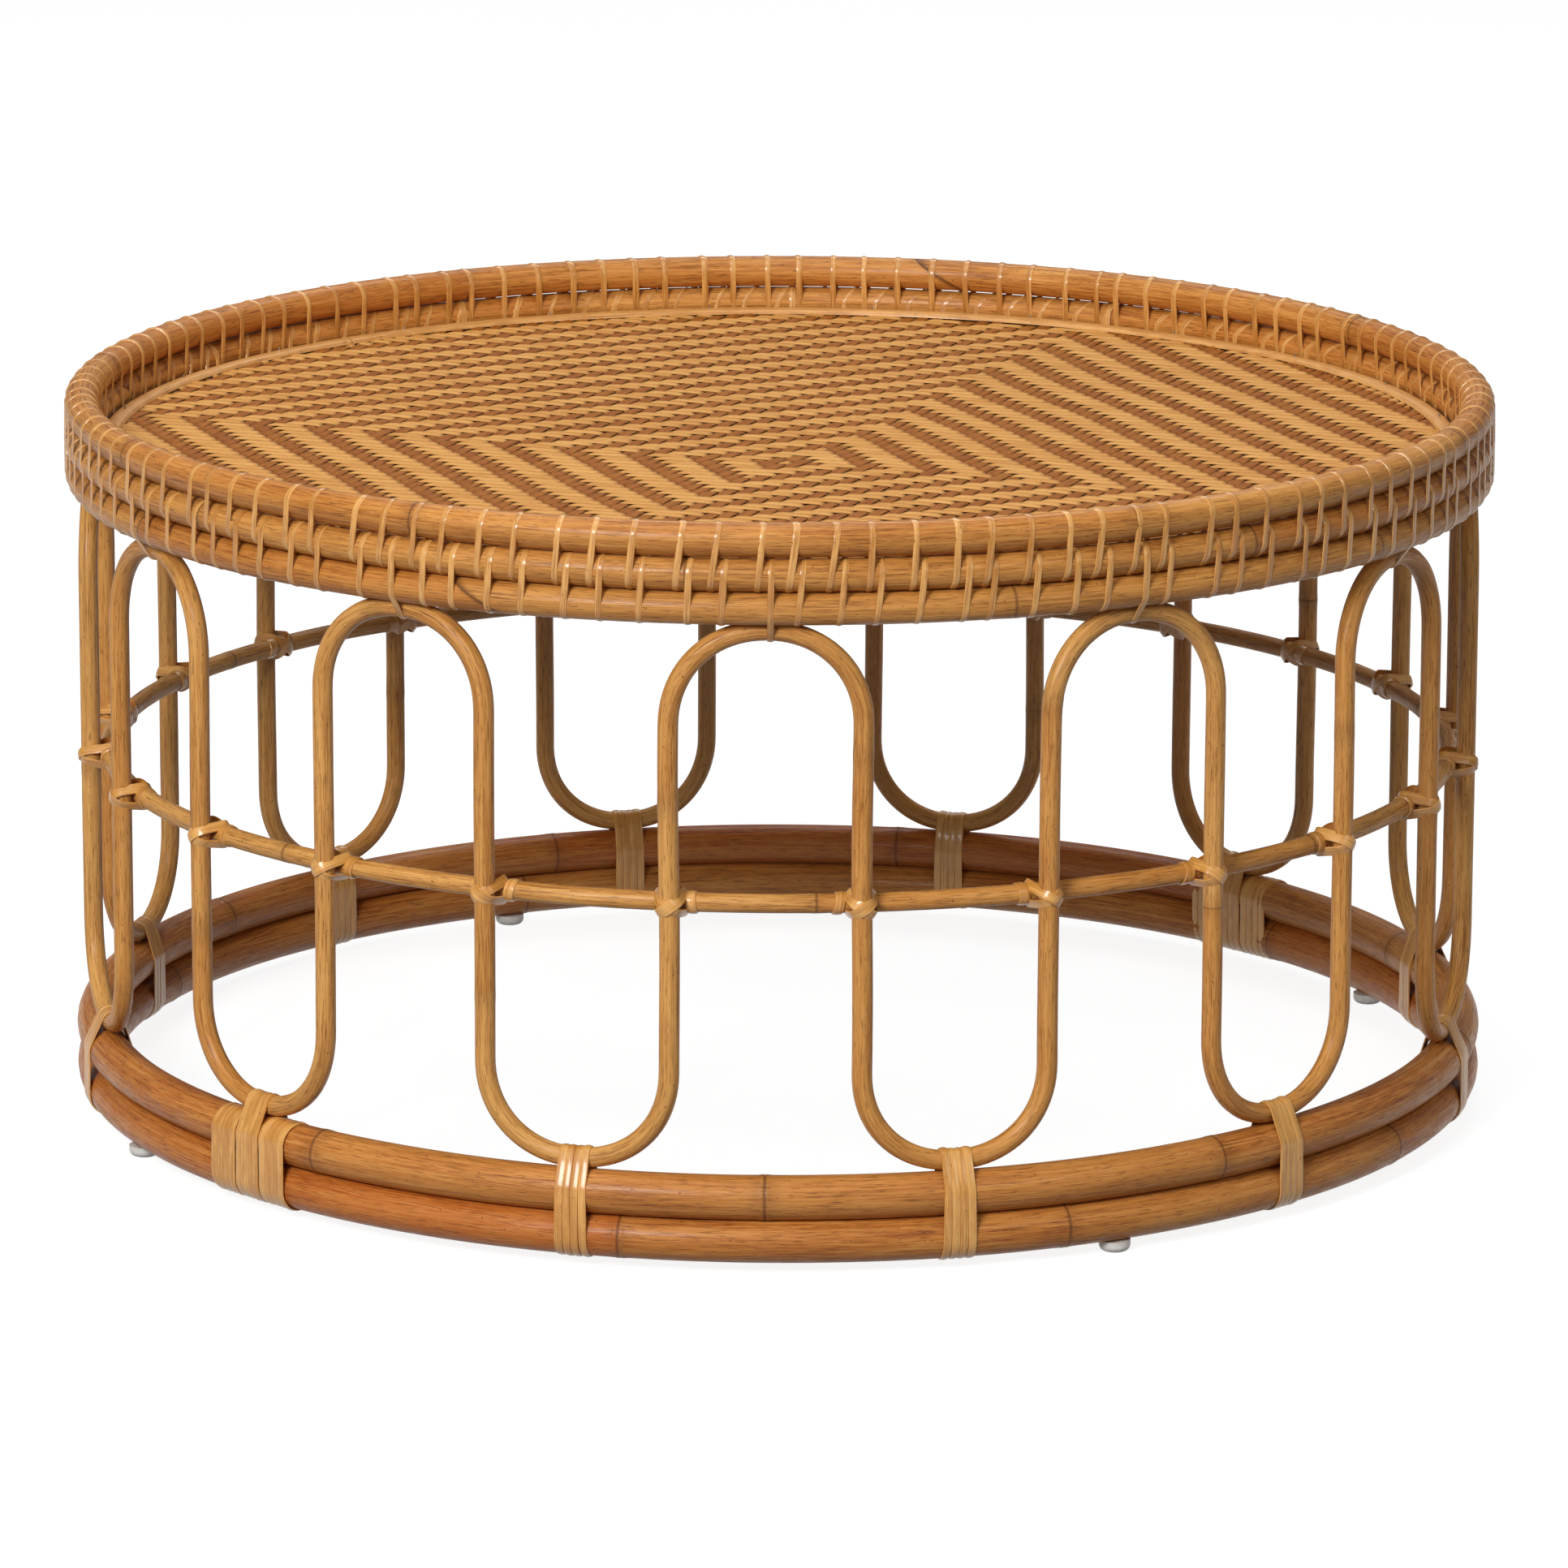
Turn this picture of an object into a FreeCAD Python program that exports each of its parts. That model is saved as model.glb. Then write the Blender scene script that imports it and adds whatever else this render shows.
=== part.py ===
import FreeCAD, Part
import Sketcher
import math
import os

# Round rattan coffee table, millimetres, +Z up.
# Origin: middle of the table on the floor.  The twelve arches stand on multiples of 30 degrees about Z.

Vector = FreeCAD.Vector
Rotation = FreeCAD.Rotation
Placement = FreeCAD.Placement

X_AXIS = Vector(1, 0, 0)
Z_AXIS = Vector(0, 0, 1)
# Turns X to Y, Y to Z and Z to X: stands a flat ring upright, facing along X.
UPRIGHT = Rotation(Vector(1, 1, 1), 120)

ARCHES = 12
SECTOR = 360 / ARCHES
HALF_SECTOR = SECTOR / 2
LOOPS_PER_SECTOR = 10
LOOP_STEP = SECTOR / LOOPS_PER_SECTOR
FRONT = -90

doc = FreeCAD.newDocument("rattan_coffee_table")
sheet = doc.addObject("Spreadsheet::Sheet", "sizes")

# ---------------------------------------------------------------- driving dimensions

DRIVING = {
    # whole table, over the lacing
    "outer_radius": 400.0,
    "overall_height": 406.0,
    # tray: three poles laced together
    "rim_pole_radius": 9.0,
    "tray_pole_radius": 8.5,
    "pole_gap": 0.9,
    "peel_thick": 0.8,
    "peel_clear": 0.02,
    "lacing_width": 3.6,
    "tie_width": 3.8,
    # tray bottom: plywood board, woven mat and half-round edge strip
    "bottom_radius": 380.2,
    "board_thick": 6.0,
    "mat_thick": 2.0,
    "mat_edge_thick": 1.5,
    "strip_radius": 5.0,
    "mat_clear": 0.05,
    # arches and the hoop inside them
    "leg_ring_radius": 388.0,
    "arch_cane_radius": 5.5,
    "hoop_radius": 5.25,
    "hoop_level": 199.0,
    "cane_clear": 0.05,
    # base: two thick poles on four glides
    "base_ring_radius": 386.0,
    "base_pole_radius": 11.75,
    "base_gap": 0.1,
    "glide_height": 6.0,
    "glide_radius": 8.5,
    "glide_flat_radius": 5.0,
    # bindings
    "binding_width": 18.5,
    "splice_width": 20.0,
    "cane_rise": 0.9,
    "knot_width": 4.5,
    "knot_half": 10.1,
    "knot_corner": 5.0,
    # joints and nails
    "kerf": 0.3,
    "brad_radius": 0.7,
    "base_brad_radius": 1.0,
    "glide_nail_radius": 1.25,
    "pin_radius": 0.5,
}


def worked_out(given):
    """Work out every ring, level and length that follows from the driving dimensions."""
    lap = given["peel_clear"] + given["peel_thick"]
    tray_ring = given["outer_radius"] - lap - given["tray_pole_radius"]
    rim_ring = given["outer_radius"] - lap - given["rim_pole_radius"]
    rim_level = given["overall_height"] - lap - given["rim_pole_radius"]
    middle_level = rim_level - given["rim_pole_radius"] - given["pole_gap"] - given["tray_pole_radius"]
    lower_level = middle_level - 2 * given["tray_pole_radius"] - given["pole_gap"]

    board_bottom = (middle_level + lower_level - given["board_thick"]) / 2
    board_top = board_bottom + given["board_thick"]

    leg_angle = math.radians(HALF_SECTOR / 2)
    bend = given["leg_ring_radius"] * math.sin(leg_angle)
    arch_ring = given["leg_ring_radius"] * math.cos(leg_angle)
    hoop_inset = given["arch_cane_radius"] + given["hoop_radius"] + given["cane_clear"]
    hoop_ring = given["leg_ring_radius"] - hoop_inset

    base_lower = given["glide_height"] + given["base_pole_radius"]
    base_upper = base_lower + 2 * given["base_pole_radius"] + given["base_gap"]
    foot_reach = given["arch_cane_radius"] + given["base_pole_radius"] + given["base_gap"]
    foot_level = base_upper + math.sqrt(foot_reach**2 - (given["base_ring_radius"] - arch_ring) ** 2)
    top_reach = given["arch_cane_radius"] + given["tray_pole_radius"] + given["base_gap"]
    top_level = lower_level - math.sqrt(top_reach**2 - (tray_ring - arch_ring) ** 2)

    knot_inner = hoop_ring - given["hoop_radius"] + given["knot_corner"]
    knot_outer = given["leg_ring_radius"] + given["arch_cane_radius"] - given["knot_corner"]
    return {
        "tray_ring_radius": tray_ring,
        "rim_ring_radius": rim_ring,
        "rim_level": rim_level,
        "middle_level": middle_level,
        "lower_level": lower_level,
        "board_bottom": board_bottom,
        "board_top": board_top,
        "mat_top": board_top + given["mat_thick"],
        "mat_edge_top": board_top + given["mat_edge_thick"],
        "mat_open_radius": given["bottom_radius"] - 2 * given["strip_radius"] - given["mat_clear"],
        "strip_ring_radius": given["bottom_radius"] - given["strip_radius"],
        "arch_bend_radius": bend,
        "arch_ring_radius": arch_ring,
        "arch_foot_level": foot_level,
        "arch_top_level": top_level,
        "leg_foot_level": foot_level + bend,
        "leg_top_level": top_level - bend,
        "leg_length": top_level - foot_level - 2 * bend,
        "hoop_ring_radius": hoop_ring,
        "base_lower_level": base_lower,
        "base_upper_level": base_upper,
        "bound_foot_level": foot_level + given["cane_rise"],
        "binding_sweep": math.degrees(given["binding_width"] / given["base_ring_radius"]),
        "splice_sweep": math.degrees(given["splice_width"] / given["base_ring_radius"]),
        "knot_corner_reach": given["knot_half"] - given["knot_corner"],
        "knot_inner_ring": knot_inner,
        "knot_outer_ring": knot_outer,
        "over_knot_inner_ring": knot_inner - lap,
        "over_knot_outer_ring": knot_outer + lap,
    }


def fill_sheet():
    """Write the dimensions into the sheet, one row each: its value in A and its name in B."""
    values = dict(DRIVING)
    values.update(worked_out(DRIVING))
    for row, (alias, value) in enumerate(values.items(), start=1):
        sheet.set(f"A{row}", f"{value:.6f}")
        sheet.setAlias(f"A{row}", alias)
        sheet.set(f"B{row}", alias.replace("_", " "))
    doc.recompute()


def size(alias):
    """Value of one dimension, read back from the sheet."""
    return float(sheet.get(alias))


# ---------------------------------------------------------------- helpers

sub_parts = []


def keep(item, label):
    """Mark an object as a finished sub-part under its own label."""
    item.Label = label
    sub_parts.append(item)
    return item


def bind(item, **expressions):
    """Tie properties of an object to dimensions of the sheet."""
    for name, expression in expressions.items():
        item.setExpression(name, expression)


def ring(name, ring_radius, pole_radius, level, ends):
    """Pole bent into a ring, its ends meeting at the angle ends: the other sizes are names in the sheet."""
    pole = doc.addObject("Part::Torus", name)
    bind(pole, Radius1=f"sizes.{ring_radius}", Radius2=f"sizes.{pole_radius}")
    pole.Placement = Placement(Vector(), Rotation(Z_AXIS, ends))
    pole.setExpression("Placement.Base.z", f"sizes.{level}")
    return pole


def kerf(name, ring_radius, level, angle, slant, reach):
    """Thin saw cut through a ring at an angle about Z, slanted from level."""
    blade = doc.addObject("Part::Box", name)
    blade.Length = reach
    blade.Width = 3 * reach
    bind(blade, Height="sizes.kerf")
    middle = Placement(Vector(size(ring_radius), 0, size(level)), Rotation(X_AXIS, slant))
    corner = Placement(Vector(-reach / 2, -3 * reach / 2, -size("kerf") / 2), Rotation())
    blade.Placement = Placement(Vector(), Rotation(Z_AXIS, angle)) * middle * corner
    return blade


def cut(name, base, *tools):
    """Base less every tool."""
    for number, tool in enumerate(tools, start=1):
        result = doc.addObject("Part::Cut", f"{name}_{number}")
        result.Base = base
        result.Tool = tool
        base = result
    return base


def turned(item, angle):
    """Turn a finished object about Z."""
    item.Placement = Placement(Vector(), Rotation(Z_AXIS, angle))
    return item


def body_named(name):
    """Body that may hold several separate solids, for a set of identical pieces."""
    body = doc.addObject("PartDesign::Body", name)
    body.AllowCompound = True
    return body


def origin_feature(body, role):
    """Plane or axis of a body's own origin."""
    return next(item for item in body.Origin.OriginFeatures if item.Role == role)


def sketch_on(body, name, tilt=0, lift=None):
    """Sketch on the body's XZ plane: x runs outwards, y up.  It may lean about x and be lifted along y."""
    sketch = body.newObject("Sketcher::SketchObject", name)
    sketch.AttachmentSupport = [(origin_feature(body, "XZ_Plane"), "")]
    sketch.MapMode = "FlatFace"
    if lift:
        sketch.AttachmentOffset = Placement(Vector(0, size(lift), 0), Rotation(X_AXIS, tilt))
        sketch.setExpression("AttachmentOffset.Base.y", f"sizes.{lift}")
    return sketch


def tie_value(sketch, constraint, expression):
    """Add a constraint and tie its value to the sheet."""
    index = sketch.addConstraint(constraint)
    sketch.setExpression(f"Constraints[{index}]", expression)


def place_centre(sketch, arc, across, up):
    """Fix an arc's centre at distances from the origin, each a pair of sheet name and sign."""
    for kind, (alias, sign) in (("DistanceX", across), ("DistanceY", up)):
        ends = (-1, 1, arc, 3) if sign > 0 else (arc, 3, -1, 1)
        tie_value(sketch, Sketcher.Constraint(kind, *ends, size(alias)), f"sizes.{alias}")


def tangent_angle(here, there):
    """Direction from each centre to where the outer tangent touches, going counter-clockwise round both."""
    run = math.hypot(there[0] - here[0], there[1] - here[1])
    heading = math.atan2(there[1] - here[1], there[0] - here[0])
    return heading - math.acos((here[2] - there[2]) / run)


def belt(sketch, rounds, wider):
    """Closed outline pulled tight round circles that are listed counter-clockwise.

    Each circle is (across, up, radius name): across and up are (sheet name, sign).
    wider lists sheet names that are added to every radius.
    """
    extra = sum(size(alias) for alias in wider)
    circles = []
    for across, up, radius in rounds:
        circles.append((across[1] * size(across[0]), up[1] * size(up[0]), size(radius) + extra))
    count = len(circles)
    touch = [tangent_angle(circles[i], circles[(i + 1) % count]) for i in range(count)]
    arcs = []
    for i, (x, y, radius) in enumerate(circles):
        start = touch[i - 1]
        end = start + (touch[i] - start) % (2 * math.pi)
        circle = Part.Circle(Vector(x, y, 0), Z_AXIS, radius)
        arcs.append(sketch.addGeometry(Part.ArcOfCircle(circle, start, end)))
    lines = []
    for i in range(count):
        ends = []
        for x, y, radius in (circles[i], circles[(i + 1) % count]):
            ends.append(Vector(x + radius * math.cos(touch[i]), y + radius * math.sin(touch[i]), 0))
        lines.append(sketch.addGeometry(Part.LineSegment(*ends)))
    more = "".join(f" + sizes.{alias}" for alias in wider)
    for i, (across, up, radius) in enumerate(rounds):
        tie_value(sketch, Sketcher.Constraint("Radius", arcs[i], circles[i][2]), f"sizes.{radius}{more}")
        place_centre(sketch, arcs[i], across, up)
        sketch.addConstraint(Sketcher.Constraint("Tangent", arcs[i], 2, lines[i], 1))
        sketch.addConstraint(Sketcher.Constraint("Tangent", lines[i], 2, arcs[(i + 1) % count], 1))


def loop_sketch(body, name, rounds, tilt=0, lift=None):
    """Outline of one flat strip wound once, tight round the circles."""
    sketch = sketch_on(body, name, tilt, lift)
    belt(sketch, rounds, ["peel_clear"])
    belt(sketch, rounds, ["peel_clear", "peel_thick"])
    return sketch


def pad_across(body, name, sketch, width):
    """Give a sketch a width, half to each side."""
    pad = body.newObject("PartDesign::Pad", name)
    pad.Profile = sketch
    pad.Midplane = True
    bind(pad, Length=f"sizes.{width}")
    return pad


def sweep_round(body, name, sketch, sweep=None):
    """Turn a sketch about Z: the whole way, or through an angle of the sheet, half to each side."""
    turn = body.newObject("PartDesign::Revolution", name)
    turn.Profile = sketch
    turn.ReferenceAxis = (sketch, ["V_Axis"])
    turn.Angle = 360
    if sweep:
        turn.Midplane = True
        bind(turn, Angle=f"sizes.{sweep}")
    return turn


def polar(body, name, angle, count):
    """Polar pattern about the body's Z axis."""
    pattern = body.newObject("PartDesign::PolarPattern", name)
    pattern.Axis = (origin_feature(body, "Z_Axis"), [""])
    pattern.Angle = angle
    pattern.Occurrences = count
    return pattern


def all_round(body, originals, count):
    """Repeat features evenly round the table."""
    pattern = polar(body, f"{body.Name}_round", 360, count)
    pattern.Originals = originals
    body.Tip = pattern


def in_groups(body, original, step, per_group, groups):
    """Repeat a feature in groups: per_group of them a step apart, and the groups evenly round the table."""
    repeat = body.newObject("PartDesign::MultiTransform", f"{body.Name}_groups")
    repeat.Originals = [original]
    near = polar(body, f"{body.Name}_near", step * (per_group - 1), per_group)
    far = polar(body, f"{body.Name}_far", 360, groups)
    repeat.Transformations = [near, far]
    body.Tip = repeat


def brad(body, name, radius, length, start, lean=0):
    """Round wire nail in a body: from its start (out, up) it runs up, leaning inwards by lean degrees."""
    nail = body.newObject("PartDesign::AdditiveCylinder", name)
    bind(nail, Radius=f"sizes.{radius}")
    nail.Height = length
    nail.Placement = Placement(Vector(start[0], 0, start[1]), Rotation(Vector(0, 1, 0), -lean))
    return nail


def brads_round(name, radius, length, start, count, lean=0):
    """Node of identical nails, evenly round the table."""
    body = body_named(name)
    all_round(body, [brad(body, f"{name}_nail", radius, length, start, lean)], count)
    return keep(body, name)


fill_sheet()

LEG_ANGLE = HALF_SECTOR / 2
# Angles about Z.  The splices of the base poles lie under the two wide wraps.
SPLICE_ANGLE = 45
RIM_SCARF_ANGLE = 76.5
MIDDLE_SCARF_ANGLE = 166.5
LOWER_SCARF_ANGLE = -112.5
HOOP_SCARF_ANGLE = 99.5
# How far each saw cut leans from level, and how long its blade is.
SCARF_SLANT = 32
SCARF_REACH = 25
HOOP_SCARF_SLANT = 20
HOOP_SCARF_REACH = 15
SPLICE_SLANT = 40
SPLICE_REACH = 28
# The upper loops sit just behind the lower ones, so that the two read as pairs.
UPPER_LOOP_ANGLE = 2.15
# How far a nail head is sunk.
NAIL_SINK = 0.3
PIN_SINK = 0.2

# ---------------------------------------------------------------- nails, made first so that they can drill

CROSSING_BRAD_LENGTH = 18.0
crossing_start = (size("leg_ring_radius") + size("arch_cane_radius") - NAIL_SINK, size("hoop_level"))
crossing_brads = turned(
    brads_round("crossing_brads", "brad_radius", CROSSING_BRAD_LENGTH, crossing_start, 2 * ARCHES, lean=90),
    LEG_ANGLE,
)

TOP_BRAD_LENGTH = 20.0
top_out = size("tray_ring_radius") - size("arch_ring_radius")
top_up = size("lower_level") - size("arch_top_level")
top_lean = -math.degrees(math.atan2(top_out, top_up))
under_top = (size("arch_cane_radius") - NAIL_SINK) / math.hypot(top_out, top_up)
top_start = (
    size("arch_ring_radius") - under_top * top_out,
    size("arch_top_level") - under_top * top_up,
)
arch_top_brads = brads_round("arch_top_brads", "brad_radius", TOP_BRAD_LENGTH, top_start, ARCHES, top_lean)

FOOT_BRAD_LENGTH = 24.0
FOOT_BRAD_ANGLE = 0.9
foot_start = (
    size("arch_ring_radius"),
    size("arch_foot_level") + size("arch_cane_radius") - NAIL_SINK - FOOT_BRAD_LENGTH,
)
arch_foot_brads = body_named("arch_foot_brads")
foot_nail = brad(arch_foot_brads, "foot_nail", "brad_radius", FOOT_BRAD_LENGTH, foot_start)
in_groups(arch_foot_brads, foot_nail, 2 * FOOT_BRAD_ANGLE, 2, ARCHES)
turned(keep(arch_foot_brads, "arch_foot_brads"), HALF_SECTOR - FOOT_BRAD_ANGLE)

BASE_BRAD_LENGTH = 36.0
base_start = (
    size("base_ring_radius"),
    size("base_upper_level") + size("base_pole_radius") - NAIL_SINK - BASE_BRAD_LENGTH,
)
base_pole_brads = brads_round("base_pole_brads", "base_brad_radius", BASE_BRAD_LENGTH, base_start, ARCHES)

BOARD_BRAD_LENGTH = 22.0
BOARD_BRAD_LEAN = 34.4
BOARD_BRAD_IN = 1.6
BOARD_BRAD_UP = 0.4
board_start = (
    size("tray_ring_radius") - BOARD_BRAD_IN,
    size("lower_level") - size("tray_pole_radius") + BOARD_BRAD_UP,
)
board_brads = turned(
    brads_round("board_brads", "brad_radius", BOARD_BRAD_LENGTH, board_start, ARCHES, BOARD_BRAD_LEAN),
    HALF_SECTOR + LOOP_STEP / 2,
)

STRIP_PIN_LENGTH = 9.0
STRIP_PINS = 24
strip_top = size("mat_edge_top") + size("strip_radius")
pin_start = (size("strip_ring_radius"), strip_top - PIN_SINK - STRIP_PIN_LENGTH)
strip_pins = turned(
    brads_round("strip_pins", "pin_radius", STRIP_PIN_LENGTH, pin_start, STRIP_PINS), LEG_ANGLE
)

# The glides were nailed on by eye, each clear of the nails that hold the base poles together.
GLIDE_ANGLES = (-154.0, -61.3, 26.9, 116.1)
GLIDE_NAIL_LENGTH = 20.0
GLIDE_NAIL_HEAD_LEVEL = 2.0
glide_nail_start = (size("base_ring_radius"), GLIDE_NAIL_HEAD_LEVEL)
glide_nails = body_named("glide_nails")
for number, angle in enumerate(GLIDE_ANGLES, start=1):
    nail = brad(glide_nails, f"glide_nail_{number}", "glide_nail_radius", GLIDE_NAIL_LENGTH, glide_nail_start)
    nail.Placement = Placement(Vector(), Rotation(Z_AXIS, angle)) * nail.Placement
keep(glide_nails, "glide_nails")

# ---------------------------------------------------------------- tray poles

rim_blank = ring("rim_blank", "rim_ring_radius", "rim_pole_radius", "rim_level", RIM_SCARF_ANGLE)
rim_kerf = kerf("rim_kerf", "rim_ring_radius", "rim_level", RIM_SCARF_ANGLE, SCARF_SLANT, SCARF_REACH)
keep(cut("tray_rim_pole", rim_blank, rim_kerf), "tray_rim_pole")

middle_blank = ring(
    "middle_blank", "tray_ring_radius", "tray_pole_radius", "middle_level", MIDDLE_SCARF_ANGLE
)
middle_kerf = kerf(
    "middle_kerf", "tray_ring_radius", "middle_level", MIDDLE_SCARF_ANGLE, SCARF_SLANT, SCARF_REACH
)
keep(cut("tray_middle_pole", middle_blank, middle_kerf), "tray_middle_pole")

lower_blank = ring("lower_blank", "tray_ring_radius", "tray_pole_radius", "lower_level", LOWER_SCARF_ANGLE)
lower_kerf = kerf(
    "lower_kerf", "tray_ring_radius", "lower_level", LOWER_SCARF_ANGLE, SCARF_SLANT, SCARF_REACH
)
keep(cut("tray_lower_pole", lower_blank, lower_kerf, arch_top_brads, board_brads), "tray_lower_pole")

# ---------------------------------------------------------------- tray bottom

board_blank = doc.addObject("Part::Cylinder", "board_blank")
bind(board_blank, Radius="sizes.bottom_radius", Height="sizes.board_thick")
board_blank.setExpression("Placement.Base.z", "sizes.board_bottom")
keep(cut("tray_board", board_blank, board_brads, strip_pins), "tray_board")


def woven_mat():
    """Flat woven sheet: full thickness in the open middle, pressed thinner under the edge strip."""
    body = body_named("mat_blank")
    sketch = sketch_on(body, "mat_section")
    corners = [
        ("mat_axis", "board_top"),
        ("bottom_radius", "board_top"),
        ("bottom_radius", "mat_edge_top"),
        ("mat_open_radius", "mat_edge_top"),
        ("mat_open_radius", "mat_top"),
        ("mat_axis", "mat_top"),
    ]
    points = []
    for across, up in corners:
        points.append(Vector(0 if across == "mat_axis" else size(across), size(up), 0))
    count = len(points)
    for i in range(count):
        sketch.addGeometry(Part.LineSegment(points[i], points[(i + 1) % count]))
    for i, (across, up) in enumerate(corners):
        sketch.addConstraint(Sketcher.Constraint("Coincident", i, 2, (i + 1) % count, 1))
        tie_value(sketch, Sketcher.Constraint("DistanceY", -1, 1, i, 1, size(up)), f"sizes.{up}")
        if across == "mat_axis":
            sketch.addConstraint(Sketcher.Constraint("PointOnObject", i, 1, -2))
        else:
            distance = Sketcher.Constraint("DistanceX", -1, 1, i, 1, size(across))
            tie_value(sketch, distance, f"sizes.{across}")
    sweep_round(body, "mat_round", sketch)
    return body


keep(cut("woven_mat", woven_mat(), strip_pins), "woven_mat")


STRIP_FACETS = 6


def edge_strip():
    """Half-round strip, flat side down, planed in narrow facets, that covers the edge of the mat."""
    body = body_named("strip_blank")
    sketch = sketch_on(body, "strip_section")
    corners = []
    for i in range(STRIP_FACETS + 1):
        turn = 180 * i / STRIP_FACETS
        across = size("strip_ring_radius") + size("strip_radius") * math.cos(math.radians(turn))
        up = size("mat_edge_top") + size("strip_radius") * math.sin(math.radians(turn))
        across_expression = f"sizes.strip_ring_radius + sizes.strip_radius * cos({turn} deg)"
        up_expression = f"sizes.mat_edge_top + sizes.strip_radius * sin({turn} deg)"
        corners.append((Vector(across, up, 0), across_expression, up_expression))
    count = len(corners)
    for i in range(count):
        sketch.addGeometry(Part.LineSegment(corners[i][0], corners[(i + 1) % count][0]))
    for i, (point, across_expression, up_expression) in enumerate(corners):
        sketch.addConstraint(Sketcher.Constraint("Coincident", i, 2, (i + 1) % count, 1))
        tie_value(sketch, Sketcher.Constraint("DistanceX", -1, 1, i, 1, point.x), across_expression)
        tie_value(sketch, Sketcher.Constraint("DistanceY", -1, 1, i, 1, point.y), up_expression)
    sweep_round(body, "strip_round", sketch)
    return body


keep(cut("mat_edge_strip", edge_strip(), strip_pins), "mat_edge_strip")

# ---------------------------------------------------------------- lacing round the tray poles

RIM = (("rim_ring_radius", 1), ("rim_level", 1), "rim_pole_radius")
MIDDLE = (("tray_ring_radius", 1), ("middle_level", 1), "tray_pole_radius")
LOWER = (("tray_ring_radius", 1), ("lower_level", 1), "tray_pole_radius")
ARCH_TOP = (("arch_ring_radius", 1), ("arch_top_level", 1), "arch_cane_radius")
ARCH_FOOT = (("arch_ring_radius", 1), ("bound_foot_level", 1), "arch_cane_radius")
BASE_UPPER = (("base_ring_radius", 1), ("base_upper_level", 1), "base_pole_radius")
BASE_LOWER = (("base_ring_radius", 1), ("base_lower_level", 1), "base_pole_radius")


def upper_lacing():
    """Loops round the rim pole and the middle pole, each close beside a lower loop."""
    body = body_named("upper_lacing")
    sketch = loop_sketch(body, "upper_loop", [MIDDLE, RIM])
    loop = pad_across(body, "upper_loop_pad", sketch, "lacing_width")
    all_round(body, [loop], ARCHES * LOOPS_PER_SECTOR)
    return turned(body, UPPER_LOOP_ANGLE)


def lower_lacing():
    """Loops round the middle pole and the lower pole, leaving a place above each arch for its tie."""
    body = body_named("lower_lacing")
    sketch = loop_sketch(body, "lower_loop", [LOWER, MIDDLE])
    loop = pad_across(body, "lower_loop_pad", sketch, "lacing_width")
    in_groups(body, loop, LOOP_STEP, LOOPS_PER_SECTOR - 1, ARCHES)
    return turned(body, LOOP_STEP)


def arch_ties():
    """Longer loops that hold each arch top under the middle and lower poles."""
    body = body_named("arch_ties")
    sketch = loop_sketch(body, "tie_loop", [ARCH_TOP, LOWER, MIDDLE])
    loop = pad_across(body, "tie_loop_pad", sketch, "tie_width")
    all_round(body, [loop], ARCHES)
    return body


keep(upper_lacing(), "upper_lacing")
keep(lower_lacing(), "lower_lacing")
keep(arch_ties(), "arch_ties")

# ---------------------------------------------------------------- arches


def bend_piece(name, level, sweep, turn, angle=0):
    """Part of an upright ring of cane: sweep degrees of it, starting turn degrees round its own axis."""
    piece = doc.addObject("Part::Torus", name)
    bind(piece, Radius1="sizes.arch_bend_radius", Radius2="sizes.arch_cane_radius")
    piece.Angle3 = sweep
    stand = Placement(Vector(size("arch_ring_radius"), 0, size(level)), UPRIGHT)
    spin = Placement(Vector(), Rotation(Z_AXIS, turn))
    piece.Placement = Placement(Vector(), Rotation(Z_AXIS, angle)) * stand * spin
    return piece


def leg(name, side):
    """Straight upright part of an arch, on one side of it."""
    piece = doc.addObject("Part::Cylinder", name)
    bind(piece, Radius="sizes.arch_cane_radius", Height="sizes.leg_length")
    piece.setExpression("Placement.Base.x", "sizes.arch_ring_radius")
    piece.setExpression("Placement.Base.y", f"{side} * sizes.arch_bend_radius")
    piece.setExpression("Placement.Base.z", "sizes.leg_foot_level")
    return piece


def arch_blank():
    """One arch facing +X, from the middle of its left foot bend to the middle of its right one."""
    pieces = [
        bend_piece("arch_top_bend", "leg_top_level", 180, 0),
        leg("arch_right_leg", 1),
        leg("arch_left_leg", -1),
        bend_piece("arch_right_foot", "leg_foot_level", 90, 180, HALF_SECTOR),
        bend_piece("arch_left_foot", "leg_foot_level", 90, 270, -HALF_SECTOR),
    ]
    blank = doc.addObject("Part::MultiFuse", "arch_blank")
    blank.Shapes = pieces
    return blank


arch_drilled = cut("arch_drilled", arch_blank(), arch_top_brads, arch_foot_brads, crossing_brads)
for number in range(ARCHES):
    arch = doc.addObject("Part::Refine", f"arch_{number + 1}")
    arch.Source = arch_drilled
    turned(arch, FRONT + number * SECTOR)
    keep(arch, f"arch_cane_{number + 1:02d}")

# ---------------------------------------------------------------- hoop and its bindings

hoop_blank = ring("hoop_blank", "hoop_ring_radius", "hoop_radius", "hoop_level", HOOP_SCARF_ANGLE)
hoop_kerf = kerf(
    "hoop_kerf", "hoop_ring_radius", "hoop_level", HOOP_SCARF_ANGLE, HOOP_SCARF_SLANT, HOOP_SCARF_REACH
)
keep(cut("middle_hoop", hoop_blank, hoop_kerf, crossing_brads), "middle_hoop")


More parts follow.
